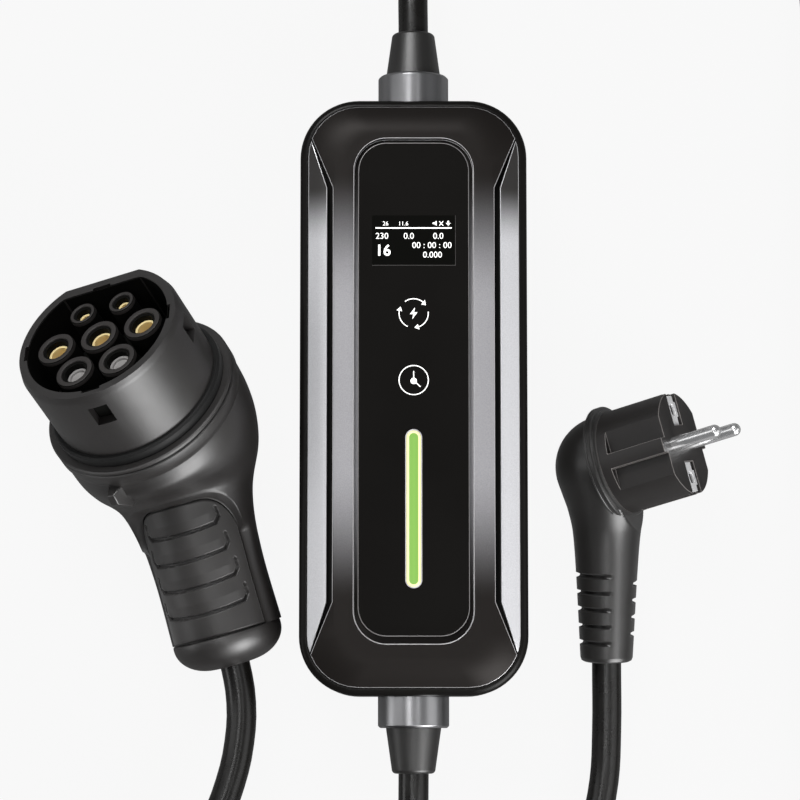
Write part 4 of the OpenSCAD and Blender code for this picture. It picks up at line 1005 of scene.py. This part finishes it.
@dataclass
class VehicleLead:
    """The cable from the control box to the vehicle connector, with the spare length in a tied coil."""

    diameter: float = 11.0
    coil_centre: tuple[float, float] = (-56.0, -252.0)
    radii: tuple[float, float, float] = (55.0, 66.0, 77.0)
    enters: float = 20.0
    leaves: float = 125.0
    per_turn: int = 20
    change: float = 0.3
    lowest: float = 5.6
    lift: float = 0.4
    lift_run: float = 40.0
    sunk: float = 8.0
    first: list[Point] = field(default_factory=lambda: [
        (0, -128, 24), (0, -137, 24), (0, -152, 23), (1, -170, 18.5), (4.5, -188.5, 12), (9.6, -206, 7.4)])
    last: list[Point] = field(default_factory=lambda: [
        (-89.31, -179.564, 26.913), (-79.967, -167.996, 25.437), (-72.407, -154.795, 23.501),
        (-66.903, -140.534, 21.532), (-63.725, -125.787, 19.96), (-63.145, -111.128, 19.213)])
    strap_width: float = 20.0
    strap_thickness: float = 1.2
    strap_corner: float = 3.0
    strap_gap: float = 0.05

    def turns(self) -> np.ndarray:
        """The coil's own points: turns beside and on each other, each changing its place near its end."""
        order = [(2, 0), (2, 1), (1, 1), (1, 0), (0, 0), (0, 1), (0, 2), (1, 2), (2, 2)]
        slots = np.array([(self.radii[c], self.diameter * (row + 0.5)) for c, row in order])
        last = len(order) - 1
        sweep = 360 * last + (self.enters - self.leaves) % 360
        at = np.linspace(0, sweep, int(sweep / 360 * self.per_turn))
        turn = at / 360
        whole = np.minimum(np.floor(turn).astype(int), last)
        share = smooth_step((turn - whole - 1 + self.change) / self.change)[:, None]
        after = np.minimum(whole + 1, last)
        radius, height = (slots[whole] * (1 - share) + slots[after] * share).T
        height = np.maximum(height, self.lowest + self.lift * np.clip(1 - at / self.lift_run, 0, 1))
        angle = np.radians(self.enters - at)
        return np.stack([self.coil_centre[0] + radius * np.cos(angle),
                         self.coil_centre[1] + radius * np.sin(angle), height], -1)

    def build(self, connector_pieces: list[Piece], handle: Placement) -> Piece:
        """Lays the cable from its boot through the coil to the connector.

        Args:
            connector_pieces: the pieces of the connector on its end; not used.
            handle: the frame at the cap's end, with its axis out of the handle.

        Returns:
            The cable.
        """
        route = np.vstack([self.first, self.turns(), self.last,
                           handle.origin, handle.origin - handle.out * self.sunk])
        lead = Workshop.cord("vehicle_lead", route, self.diameter, Finishes.CABLE,
                             ("vehicle_cord_start", "vehicle_cord_coil", "vehicle_cord_end"), 3)
        self.strap()
        return lead

    def strap(self) -> Piece:
        """The woven strap round the coil's bundle, as one closed loop."""
        half, t = self.strap_width / 2, self.strap_thickness
        inner = self.radii[0] - self.diameter / 2
        outer = self.radii[2] + self.diameter / 2
        height = 3 * self.diameter
        r = self.strap_corner
        low, steps = self.strap_gap, 6
        corners = [(inner, low, r, r), (outer, low, -r, r), (outer, height, -r, -r), (inner, height, r, -r)]
        loop = []
        for k, (x, z, inward, up) in enumerate(corners):
            for step in range(steps + 1):
                a = math.radians(180 + 90 * (k + step / steps))
                ahead, over = math.cos(a), math.sin(a)
                loop.append((x + inward + r * ahead, z + up + r * over, ahead, over))
        loop = np.array(loop)
        rows = []
        for x in np.linspace(-half, half, 9):
            for side in (0.0, t - 0.1):
                reach = loop[:, 0] + loop[:, 2] * side
                spread = np.sqrt(np.maximum(reach ** 2 - x ** 2, 1.0))
                rows.append(np.stack([np.full(len(loop), self.coil_centre[0] + x),
                                      self.coil_centre[1] - spread,
                                      np.maximum(loop[:, 1] + loop[:, 3] * side, 0.02)], -1))
        rings = np.array(rows)
        inside, outside = rings[0::2], rings[1::2]
        points = np.concatenate([outside.reshape(-1, 3), inside.reshape(-1, 3)])
        faces = Workshop.double_skin(len(outside), len(loop), True)
        return Workshop.piece("coil_strap", points, faces, Finishes.STRAP, ("coil_tie",))


# Control box


@dataclass
class ControlBox:
    """The control box: shells, bezel, trims, panel with its figures and marks, and what is inside."""

    panel_top: float = 45.2
    bar_width: float = 5.2
    bar_length: float = 56.5
    bar_y: float = -41.8
    window_width: float = 30.2
    window_length: float = 18.2
    window_y: float = 56.0
    current_y: float = 29.2
    delay_y: float = 4.8
    mark_radius: float = 5.3
    stroke: float = 0.34
    arrow_turn: float = 17.0
    arrow_half: float = 1.05
    hub_radius: float = 1.15
    digit_share: float = 0.69

    def build(self) -> None:
        """Dresses the box's CAD nodes and adds what is too fine for them."""
        self.shells()
        self.inside()
        self.face()
        self.light_bar()
        self.window()
        self.figures()
        self.marks()

    def shells(self) -> None:
        """Both shells, their seal and screws."""
        Workshop.dress_nodes(0.25, rear_cover=Finishes.CASE, front_housing=Finishes.CASE)
        Workshop.dress_nodes(0, housing_seal=Finishes.SEAL)
        Workshop.dress_nodes(0.15, case_screws=Finishes.STEEL)
        LOG.info("shells, seal and screws dressed")

    def inside(self) -> None:
        """What the closed box hides."""
        Workshop.dress_nodes(
            0.15, display_board=Finishes.BOARD, control_board=Finishes.BOARD, board_screws=Finishes.STEEL,
            power_relays=Finishes.RELAY, supply_transformer=Finishes.TAPE, current_sensor=Finishes.SENSOR,
            buzzer=Finishes.RELAY, touch_springs=Finishes.COPPER, display_module=Finishes.WINDOW)
        LOG.info("boards and parts inside dressed")

    def face(self) -> None:
        """Bezel, trims and panel."""
        # The bezel and trims carry a painted reflection in their colour, and a lighter rim finish on their
        # edges as a painted highlight.
        for node, finish, rim in (("face_bezel", Finishes.BEZEL, Finishes.BEZEL_EDGE),
                                  ("side_trim_left", Finishes.TRIM, Finishes.TRIM_EDGE),
                                  ("side_trim_right", Finishes.TRIM, Finishes.TRIM_EDGE)):
            Workshop.dress_node(node, finish, edge=0.32, smooth=24, bevel_above=35, rim=rim)
        # The panel's edges take a lighter finish, a painted highlight.
        Workshop.dress_node("front_panel", Finishes.PANEL, edge=0.3, rim=Finishes.PANEL_EDGE)
        LOG.info("bezel, trims and panel dressed")

    @staticmethod
    def plate(name: str, outlines: list[np.ndarray], low: float, high: float, finish: Finish) -> Piece:
        """Thin flat pieces from outlines seen from above, between two heights."""
        points, faces = [], []
        for outline in outlines:
            n, start = len(outline), len(points)
            points += [(x, y, z) for z in (low, high) for x, y in outline]
            faces += [tuple(range(start, start + n)), tuple(range(start + n, start + 2 * n))]
            faces += Workshop.strip_faces(2, n, True, start)
        return Workshop.piece(name, np.array(points), faces, finish)

    @staticmethod
    def oblong(x0: float, y0: float, x1: float, y1: float) -> np.ndarray:
        """The outline of a rectangle between two corners."""
        return np.array([(x0, y0), (x1, y0), (x1, y1), (x0, y1)])

    def bar_rings(self, rows: list[tuple[float, float]]) -> np.ndarray:
        """The light bar's outline at each row's growth and height."""
        return np.array([[(x, y, z) for x, y in self.bar_outline(grow)] for grow, z in rows])

    def bar_outline(self, grow: float, steps: int = 20) -> np.ndarray:
        """The light bar's outline, grown by some millimetres."""
        r = self.bar_width / 2 + grow
        straight = (self.bar_length - self.bar_width) / 2
        a = np.radians(np.linspace(0, 180, steps))
        top = np.stack([r * np.cos(a), self.bar_y + straight + r * np.sin(a)], -1)
        low = np.stack([-r * np.cos(a), self.bar_y - straight - r * np.sin(a)], -1)
        return np.vstack([top, low])

    def light_bar(self) -> None:
        """The lit bar with its rounded top, and a thin ring round it in the lighter edge finish, a painted
        highlight.
        """
        base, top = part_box("light_guide")[0].z / MM, self.panel_top
        rings = self.bar_rings([(0, base), (0, top - 0.1), (-0.25, top + 0.15), (-0.8, top + 0.28),
                                (-1.6, top + 0.3)])
        Workshop.tube("light_bar", rings, Finishes.BAR, ("light_guide",))
        # A thin ring round the bar in the lighter edge finish: a painted highlight.
        rings = self.bar_rings([(0.02, top - 0.2), (0.02, top + 0.18), (0.2, top + 0.28), (0.42, top + 0.2),
                                (0.5, top - 0.2)])
        Workshop.piece("light_bar_highlight_rim", rings, Workshop.closed_strip(*rings.shape[:2]), Finishes.BEZEL_EDGE,
                       crease=50)
        LOG.info("light bar made")

    def window(self) -> None:
        """The screen's window, a shade darker than the panel, with a painted highlight: a hair-thin lighter
        line along two of its sides.
        """
        w, l = self.window_width / 2, self.window_length / 2
        low, high = self.window_y - l, self.window_y + l
        base = self.panel_top - 0.05
        self.plate("screen_window", [self.oblong(-w, low, w, high)], base, base + 0.07, Finishes.WINDOW)
        # Painted highlight: thin lighter strips along the window's lower and right edges.
        highlight_strips = [self.oblong(-w, low - 0.25, w, low), self.oblong(w, low - 0.25, w + 0.2, high)]
        self.plate("screen_edge_highlight", highlight_strips, base, base + 0.08, Finishes.SLEEVE)

    def figure(self, text: str, x: float, y: float, height: float, right: bool = False,
               bold: float = 0.0) -> Piece:
        """Plain figures, laid on the panel.

        Args:
            text: the figures.
            x: their left edge, or right edge.
            y: their base line.
            height: the figures' height.
            right: whether x is the right edge.
            bold: how much thicker each stroke is made.

        Returns:
            The figures as a mesh piece.
        """
        curve = bpy.data.curves.new("figures", "FONT")
        curve.body = text
        curve.size = height / self.digit_share * MM
        curve.extrude = 0.015 * MM
        curve.offset = bold * MM
        curve.resolution_u = 3
        curve.align_x = "RIGHT" if right else "LEFT"
        holder = new_object("figures", curve)
        bpy.context.view_layer.update()
        mesh = bpy.data.meshes.new_from_object(holder.evaluated_get(bpy.context.evaluated_depsgraph_get()))
        bpy.data.objects.remove(holder)
        for vertex in mesh.vertices:
            vertex.co += Vector((x, y, self.panel_top + 0.04)) * MM
        return new_object("figures", mesh)

    def figures(self) -> None:
        """The screen's figures and symbols, and the line under its top row."""
        left, right, y = -self.window_width / 2 + 1.2, self.window_width / 2 - 1.2, self.window_y
        rows = [("26", left + 2.6, y + 5.4, 1.5), ("11.6", left + 8.3, y + 5.4, 1.5),
                ("230", left, y + 0.5, 2.2), ("0.0", left + 10.2, y + 0.5, 2.2),
                ("0.0", right - 3.0, y + 0.5, 2.2, True), ("16", left, y - 5.6, 3.9, False, 0.11),
                ("00 : 00 : 00", right, y - 2.9, 2.2, True), ("0.000", right - 3.5, y - 6.4, 2.2, True)]
        Workshop.joined("screen_figures", [self.figure(*row) for row in rows], Finishes.MARK)
        horn = [(6.9, 5.9), (7.5, 5.9), (8.4, 5.3), (8.4, 7.1), (7.5, 6.5), (6.9, 6.5)]
        drop = [(12.6, 5.3), (13.5, 6.3), (12.9, 6.3), (12.9, 7.1), (12.3, 7.1), (12.3, 6.3), (11.7, 6.3)]
        cross = [[(9.2, 5.4), (9.5, 5.3), (10.9, 6.9), (10.6, 7.0)],
                 [(10.6, 5.3), (10.9, 5.4), (9.5, 7.0), (9.2, 6.9)]]
        outlines = [self.oblong(left, y + 4.25, right, y + 4.7)]
        outlines += [np.array(symbol) + (0, y) for symbol in (horn, drop, *cross)]
        self.plate("screen_symbols", outlines, self.panel_top, self.panel_top + 0.05, Finishes.MARK)
        LOG.info("screen figures made")

    def arc(self, y: float, start: float, end: float, radius: float) -> np.ndarray:
        """A curved stroke as an outline, its ends at two angles in degrees."""
        a = np.radians(np.linspace(start, end, 40))
        rims = [np.stack([r * np.cos(b), y + r * np.sin(b)], -1)
                for r, b in ((radius + self.stroke / 2, a), (radius - self.stroke / 2, a[::-1]))]
        return np.vstack(rims)

    def arrow(self, y: float, angle: float, radius: float) -> np.ndarray:
        """The head of a clockwise arrow on a circle, with its tip past the given angle."""
        a, tip, half = math.radians(angle), math.radians(angle - self.arrow_turn), self.arrow_half
        return np.array([(r * math.cos(b), y + r * math.sin(b))
                         for r, b in ((radius + half, a), (radius, tip), (radius - half, a))])

    def marks(self) -> None:
        """Two touch marks: three arrows round a spark, and a clock."""
        r, y = self.mark_radius, self.current_y
        outlines = []
        for start in (68, 188, 308):
            outlines += [self.arc(y, start + 58, start - 18, r), self.arrow(y, start - 18, r)]
        spark = [(0.5, 2.2), (-1.35, -0.35), (-0.15, -0.35), (-0.5, -2.2), (1.35, 0.35), (0.15, 0.35)]
        outlines.append(np.array(spark) + (0, y))
        y = self.delay_y
        outlines += [self.arc(y, 0, 180, r), self.arc(y, 180, 360, r)]
        a = circle(24)
        outlines.append(np.stack([self.hub_radius * np.cos(a), y - 0.3 + self.hub_radius * np.sin(a)], -1))
        outlines.append(self.oblong(-0.17, y, 0.17, y + 3.3))
        outlines.append(np.array([(0.55, -0.95), (0.8, -0.7), (2.6, -2.3), (2.35, -2.55)]) + (0, y))
        self.plate("touch_marks", outlines, self.panel_top, self.panel_top + 0.05, Finishes.MARK)
        LOG.info("touch marks made")


class CableGlands:
    """Collars, nuts and boots on both ends of the control box."""

    @staticmethod
    def build() -> None:
        """Dresses the glands' CAD nodes."""
        Workshop.dress_nodes(
            0.2, top_gland_collar=Finishes.COLLAR, bottom_gland_collar=Finishes.COLLAR,
            gland_nuts=Finishes.STEEL, top_cable_boot=Finishes.BOOT, bottom_cable_boot=Finishes.BOOT)
        LOG.info("glands dressed")


# Vehicle connector


@dataclass
class VehicleConnector:
    """The pistol-grip connector with its seven-contact face."""

    form: HandleForm
    place: Placement
    grip_thickness: float = 2.0
    flank_length: float = 1.8
    grip_radius: float = 19.6
    groove_count: int = 4
    groove_depth: float = 1.35
    groove_half: float = 0.78
    groove_wall: float = 0.38
    groove_first: float = 8.0
    groove_pitch: float = 10.0
    groove_reach: float = 42.0
    groove_bow: float = 2.4
    bow_reach: float = 24.0
    grip_joint: float = 0.8
    grip_rim: float = 0.8
    grip_rim_turn: float = 2.2
    grip_rim_depth: float = 0.45
    finger_depth: float = 0.45
    finger_length: float = 4.2
    chin_place: float = 15.0
    chin_turn: float = -18.0
    chin_sunk: float = 1.5
    ring_z: float = -34.0
    flange_radius: float = 36.5
    sleeve_top: float = -1.5
    barrel_flat: float = 26.9
    barrel_radius: float = 31.5
    barrel_wall: float = 3.9
    end_cap_length: float = 12.0

    def build(self) -> list[Piece]:
        """Builds the connector.

        Returns:
            Its pieces.
        """
        pieces = [self.shell(), self.locking_ring(), self.chin_tab(), self.grip(), self.end_cap(),
                  self.sleeves(), self.shade_sheet()]
        pieces += Workshop.dress_nodes(0.35, connector_barrel=Finishes.BODY)
        pieces += Workshop.dress_nodes(0.2, contact_carrier=Finishes.CARRIER, signal_contacts=Finishes.GOLD,
                                       barrel_seal=Finishes.SEAL)
        pieces += Workshop.dress_nodes(0.25, power_contacts=Finishes.GOLD, contact_blanks=Finishes.BLANK)
        LOG.info("vehicle connector made of %d pieces", len(pieces))
        return pieces

    def shell(self) -> Piece:
        """The body from the locking ring to the cap, with the flank and the pocket of the grip."""
        form = self.form
        g, f, joint = form.grip_half, form.flank, 0.3
        spread = np.sin(np.radians(np.linspace(-90, 90, 61))) * g
        degrees = np.concatenate([
            np.linspace(-g - f, -g - joint, 9), spread, np.linspace(g + joint, g + f, 9),
            np.linspace(g + f, 360 - g - f, 52)[1:-1]])
        off = form.off_grip(degrees)
        flank = smooth_step((g + f - off) / (f - joint))
        pocket = off <= g + 0.01
        start, length = form.grip_start, self.flank_length
        stations = [(s, 0.0, False) for s in np.linspace(0, start - length, 44)]
        stations += [(start - length + length * k / 8, smooth_step(np.array(k / 8)), False)
                     for k in range(1, 9)]
        stations += [(start + 0.02, 1.0, True)]
        stations += [(s, 1.0, True) for s in np.linspace(start + 1, form.length, 40)]
        rings = []
        for s, share, deep in stations:
            at = form.bowed(np.full_like(degrees, s), degrees)
            sink = form.drop(at) * share * flank + np.where(pocket & deep, self.grip_thickness, 0)
            rings.append(form.skin(at, degrees, sink))
        return Workshop.tube("connector_shell", self.place.at(np.array(rings)), Finishes.BODY,
                             ("connector_body",), crease=34)

    def locking_ring(self) -> Piece:
        """The two-lipped ring between barrel seal and body."""
        z, r = self.ring_z, self.flange_radius
        steps = [(3, 0), (0.5, 0), (0, 0.4), (0, 1.2), (0.3, 1.5), (0.8, 1.6), (0.8, 2.1), (0.3, 2.3),
                 (0, 2.6), (0, 6.0), (0.3, 6.5), (0.6, 8), (3, 8)]
        profile = [(r - inward, z - down) for inward, down in steps]
        return Workshop.turned("locking_ring", profile, self.place, Finishes.BODY, steps=128)

    def chin_tab(self) -> Piece:
        """The wedge under the chin."""
        s = np.array([self.chin_place])
        turn = math.degrees(float(self.form.turn(s)[0]))
        base = self.place.tilted(tuple(self.form.spine(s)[0]), -turn)
        a = math.radians(self.chin_turn)
        side, fingers = (base.right * math.cos(a) + base.up * math.sin(a),
                         base.up * math.cos(a) - base.right * math.sin(a))
        reach = float(table_curve(self.form.rows(), s)[0, 1])
        local = Placement(base.origin - fingers * (reach - self.chin_sunk), side, fingers, base.out)
        rings = local.at(np.array([
            [(-w, y, back), (w, y, back), (w, y, front), (-w, y, front)]
            for w, y, back, front in ((3, 1, -5, 5), (3, -1, -5, 5), (1.6, -6, 0, 4))], float))
        tab = Workshop.tube("chin_tab", rings, Finishes.BODY)
        new_modifier(tab, "edge_radius", "BEVEL", width=0.4 * MM, segments=2)
        return tab

    def groove(self, arc: np.ndarray, t: np.ndarray) -> np.ndarray:
        """Depth of the finger grooves, each with a hook at both ends and a shallow hollow above it.

        Args:
            arc: distance round the handle from the middle of the grip.
            t: distance down the grip.

        Returns:
            The depth at each point.
        """
        depth = np.zeros_like(arc)
        off = np.abs(arc)
        t = t - self.groove_bow * (1 - (arc / self.bow_reach) ** 2)
        for i in range(self.groove_count):
            at = self.groove_first + i * self.groove_pitch
            reach = math.radians(self.groove_reach + 3 * i) * self.grip_radius
            strokes = [((0, at), (reach, at)), ((reach, at), (reach + 1.8, at - 1.8)),
                       ((reach + 1.8, at - 1.8), (reach + 1.4, at - 5.2))]
            near = np.full_like(arc, 99.0)
            for (x0, y0), (x1, y1) in strokes:
                along = np.array([x1 - x0, y1 - y0])
                share = np.clip(((off - x0) * along[0] + (t - y0) * along[1]) / (along @ along), 0, 1)
                near = np.minimum(near, np.hypot(off - x0 - share * along[0], t - y0 - share * along[1]))
            cut = smooth_step((self.groove_half - near) / self.groove_wall)
            depth = np.maximum(depth, self.groove_depth * cut)
            slope = np.clip((t - at + self.finger_length) / self.finger_length, 0, 1) * (t <= at)
            depth = np.maximum(depth, self.finger_depth * slope * smooth_step((reach - off) / 3))
        return depth

    def grip(self) -> Piece:
        """The soft insert in the pocket, with four hooked finger grooves."""
        form = self.form
        edge = form.grip_half - self.grip_joint
        close = np.array([0.975, 0.985, 0.995])
        spread = np.sort(np.concatenate([np.linspace(-1, 1, 181), -close, close]))
        start, length = form.grip_start + 0.4, form.length - form.grip_start - 0.8
        wide = self.grip_rim
        rows = np.linspace(0, length, 225)
        degs = np.broadcast_to(spread * edge, (len(rows), len(spread)))
        s = form.bowed(start + rows[:, None] + 0 * degs, degs / edge * form.grip_half)
        arc = np.radians(degs) * self.grip_radius
        rim = np.minimum(np.minimum(rows[:, None] / wide, (length - rows[:, None]) / wide),
                         (edge - np.abs(degs)) / self.grip_rim_turn)
        round_off = self.grip_rim_depth * (1 - np.clip(rim, 0, 1)) ** 2
        face = form.drop(s)
        top = form.skin(s, degs, face + self.groove(arc, s - start) + round_off)
        low = form.skin(s, degs, face + self.grip_thickness - 0.1)
        faces = Workshop.double_skin(*s.shape, False)
        return Workshop.piece("grip_pad", self.place.at(np.vstack([top, low])), faces, Finishes.GRIP,
                              ("grip_insert",), crease=70)

    def end_frame(self) -> Placement:
        """The frame at the handle's end, with its axis on down the handle."""
        return self.place.tilted(tuple(self.form.spine(np.array([self.form.length]))[0]),
                                 180 - self.form.bend_angle)

    def cable_end(self) -> Placement:
        """The frame where the cable leaves the cap."""
        return self.end_frame().moved(0, 0, self.end_cap_length)

    def end_cap(self) -> Piece:
        """The rounded cap with its thin lip and the hole for the cable."""
        rim, hole, length = self.form.handle, 7.0, self.end_cap_length
        profile = [(hole, 0), (rim - 0.6, 0), (rim - 0.1, 0.3), (rim, 0.9), (rim, 1.6)]
        profile += [(hole + (rim - hole) * math.cos(a), 1.6 + (length - 1.6) * math.sin(a))
                    for a in np.radians(np.linspace(6, 84, 14))]
        profile += [(hole + 0.4, length), (hole, length - 0.3)]
        return Workshop.turned("handle_cap", profile, self.end_frame(), Finishes.BODY, ("connector_end_cap",))

    def sleeves(self) -> Piece:
        """Mouths of the seven sleeves in a lighter copy of the carrier's black, a painted highlight, each
        with a rounded edge and a ledge inside.
        """
        large, small = (7.1, 5.0), (4.9, 3.5)
        spots = [(x, 0.0, *large) for x in (-17.0, 0.0, 17.0)] + [(x, -14.6, *large) for x in (-8.3, 8.3)]
        spots += [(x, 14.3, *small) for x in (-7.7, 7.7)]
        parts = []
        for x, y, outer, ledge in spots:
            local = self.place.moved(x, y, 0)
            top = self.sleeve_top
            profile = [(outer - 0.1, top - 1.6), (outer + 0.05, top - 1.6), (outer + 0.05, top - 0.4),
                       (outer - 0.12, top - 0.08), (outer - 0.4, top + 0.04), (ledge + 0.35, top + 0.04),
                       (ledge + 0.1, top - 0.05), (ledge - 0.04, top - 0.25), (ledge - 0.04, top - 0.78),
                       (outer - 0.1, top - 0.79)]
            parts.append(Workshop.turned("sleeve", profile, local, Finishes.SLEEVE, steps=64))
        return Workshop.joined("contact_sleeves", parts, Finishes.SLEEVE)

    def shade_sheet(self) -> Piece:
        """A near-black sheet just inside the barrel's wall, painted shade that darkens the cavity."""
        steps, air, thick, mouth, floor = 96, 0.03, 0.14, -0.6, -23.6
        a = circle(steps)
        rings = []
        for sink, z in ((0.0, floor), (0.0, mouth), (thick, mouth), (thick, floor)):
            r, flat = (half - self.barrel_wall - air - sink
                       for half in (self.barrel_radius, self.barrel_flat))
            rings.append(np.stack([r * np.cos(a), np.minimum(r * np.sin(a), flat), np.full(steps, z)], -1))
        return Workshop.piece("barrel_shade_sheet", self.place.at(np.array(rings)),
                              Workshop.closed_strip(len(rings), steps), Finishes.CARRIER)


# Mains plug


@dataclass
class MainsPlug:
    """The angled earthed plug with its moulded cover."""

    place: Placement
    neck_tilt: float = 17.0
    body_length: float = 26.0
    neck_inset: float = 6.0
    flange_radius: float = 21.8
    flange_thickness: float = 4.0
    dome_radius: float = 19.0
    neck_length: float = 72.0
    neck_end_radius: float = 9.6
    waist: float = 24.0
    waist_radius: float = 12.4
    slot_depth: float = 1.7
    slot_width: float = 1.4
    slot_pitch: float = 6.2
    slot_half_turn: float = 66.0
    slot_first: float = 8.0
    slots_from: float = 20.0
    slot_run_out: float = 24.0

    def build(self) -> list[Piece]:
        """Builds the plug.

        Returns:
            Its pieces.
        """
        pieces = [self.cover(), self.flange(),
                  # The plug body's edges take a lighter finish, a painted highlight.
                  Workshop.dress_node("plug_body", Finishes.PLUG, 0.2, rim=Finishes.PLUG_EDGE),
                  Workshop.dress_node("plug_pins", Finishes.CHROME, edge=0),
                  Workshop.dress_node("earth_clips", Finishes.CLIP, edge=0.12)]
        LOG.info("mains plug made of %d pieces", len(pieces))
        return pieces

    def flange(self) -> Piece:
        """The cover's flange with its groove and lip."""
        steps = [(6, 0), (1.8, 0), (1.4, 0.3), (1.4, 1.15), (0.3, 1.2), (0, 1.5), (0, 2.5), (0.15, 2.65),
                 (0.5, 2.7), (0.5, 3.1), (0.1, 3.15), (0, 3.3), (0, 3.6), (0.4, self.flange_thickness),
                 (6, self.flange_thickness)]
        profile = [(self.flange_radius - inward, -self.body_length - down) for inward, down in steps]
        return Workshop.turned("cover_flange", profile, self.place, Finishes.COVER, steps=128)

    def neck_frame(self) -> Placement:
        """The frame in the middle of the rounded back, with its axis down the neck."""
        return self.place.tilted((0, 0, -self.body_length - self.neck_inset), 90 + self.neck_tilt)

    def cable_end(self) -> Placement:
        """The frame where the cable leaves the neck."""
        return self.neck_frame().moved(0, 0, self.neck_length)

    def cover(self) -> Piece:
        """The rounded back and the neck, blended into each other, with the slots of the strain relief."""
        neck = self.neck_frame()
        d = self.dome_radius
        rows: list[tuple[float, float]] = [(d * math.cos(a), d * math.sin(a))
                                           for a in np.radians(np.linspace(-89, 20, 36))]
        places = np.linspace(7.0, self.neck_length - 1.6, 190)
        blend = table_curve([[6.5, 17.85], [11, 16.2], [16, 14.4], [self.waist, self.waist_radius + 0.2],
                             [34, 11.7], [self.neck_length, self.neck_end_radius]], places)[:, 0]
        rows += list(zip(blend, places))
        end = self.neck_end_radius
        rows += [(end - 0.35, self.neck_length - 0.5), (end - 1.3, self.neck_length), (5.6, self.neck_length)]
        steps = 120
        a = circle(steps)
        radius = np.array([r for r, _ in rows])[:, None] * np.ones((1, steps))
        z = np.array([z for _, z in rows])[:, None] * np.ones((1, steps))
        first = self.neck_length - self.slot_first
        for count, phase, middle in ((5, 0.0, -150.0), (4, 0.5, 30.0)):
            for i in range(count):
                low = first - (i + phase) * self.slot_pitch
                inside = np.clip(np.minimum(z - low, low + self.slot_width - z) / 0.25 + 0.5, 0, 1)
                turn = (np.degrees(a)[None, :] - middle + 180) % 360 - 180
                wide = np.clip((self.slot_half_turn - np.abs(turn)) / self.slot_run_out, 0, 1)
                radius = radius - self.slot_depth * inside * wide * (z > self.slots_from)
        points = neck.at(np.stack([radius * np.cos(a), radius * np.sin(a), z], -1))
        depth = (points - self.place.origin) @ self.place.out
        over = np.maximum(depth - (-self.body_length - 0.6), 0)
        points = points - over[..., None] * self.place.out
        return Workshop.tube("plug_cover_back", points, Finishes.COVER, ("plug_cover",), crease=30)


# All together


def main() -> None:
    """Builds the studio and every sub-assembly in order."""
    logging.basicConfig(level=logging.INFO, format="%(name)s: %(message)s")
    studio = Studio()
    studio.camera()
    studio.light()
    studio.floor()
    form, lay = HandleForm(), Lay()
    connector = VehicleConnector(form, lay.connector(form))
    plug = MainsPlug(lay.plug(back_depth=32.0))
    connector_pieces, plug_pieces = connector.build(), plug.build()
    ControlBox().build()
    CableGlands.build()
    VehicleLead().build(connector_pieces, connector.cable_end())
    MainsLead().build(plug_pieces, plug.cable_end())
    bpy.context.scene.view_settings.view_transform = "Standard"


if __name__ == "__main__":
    main()
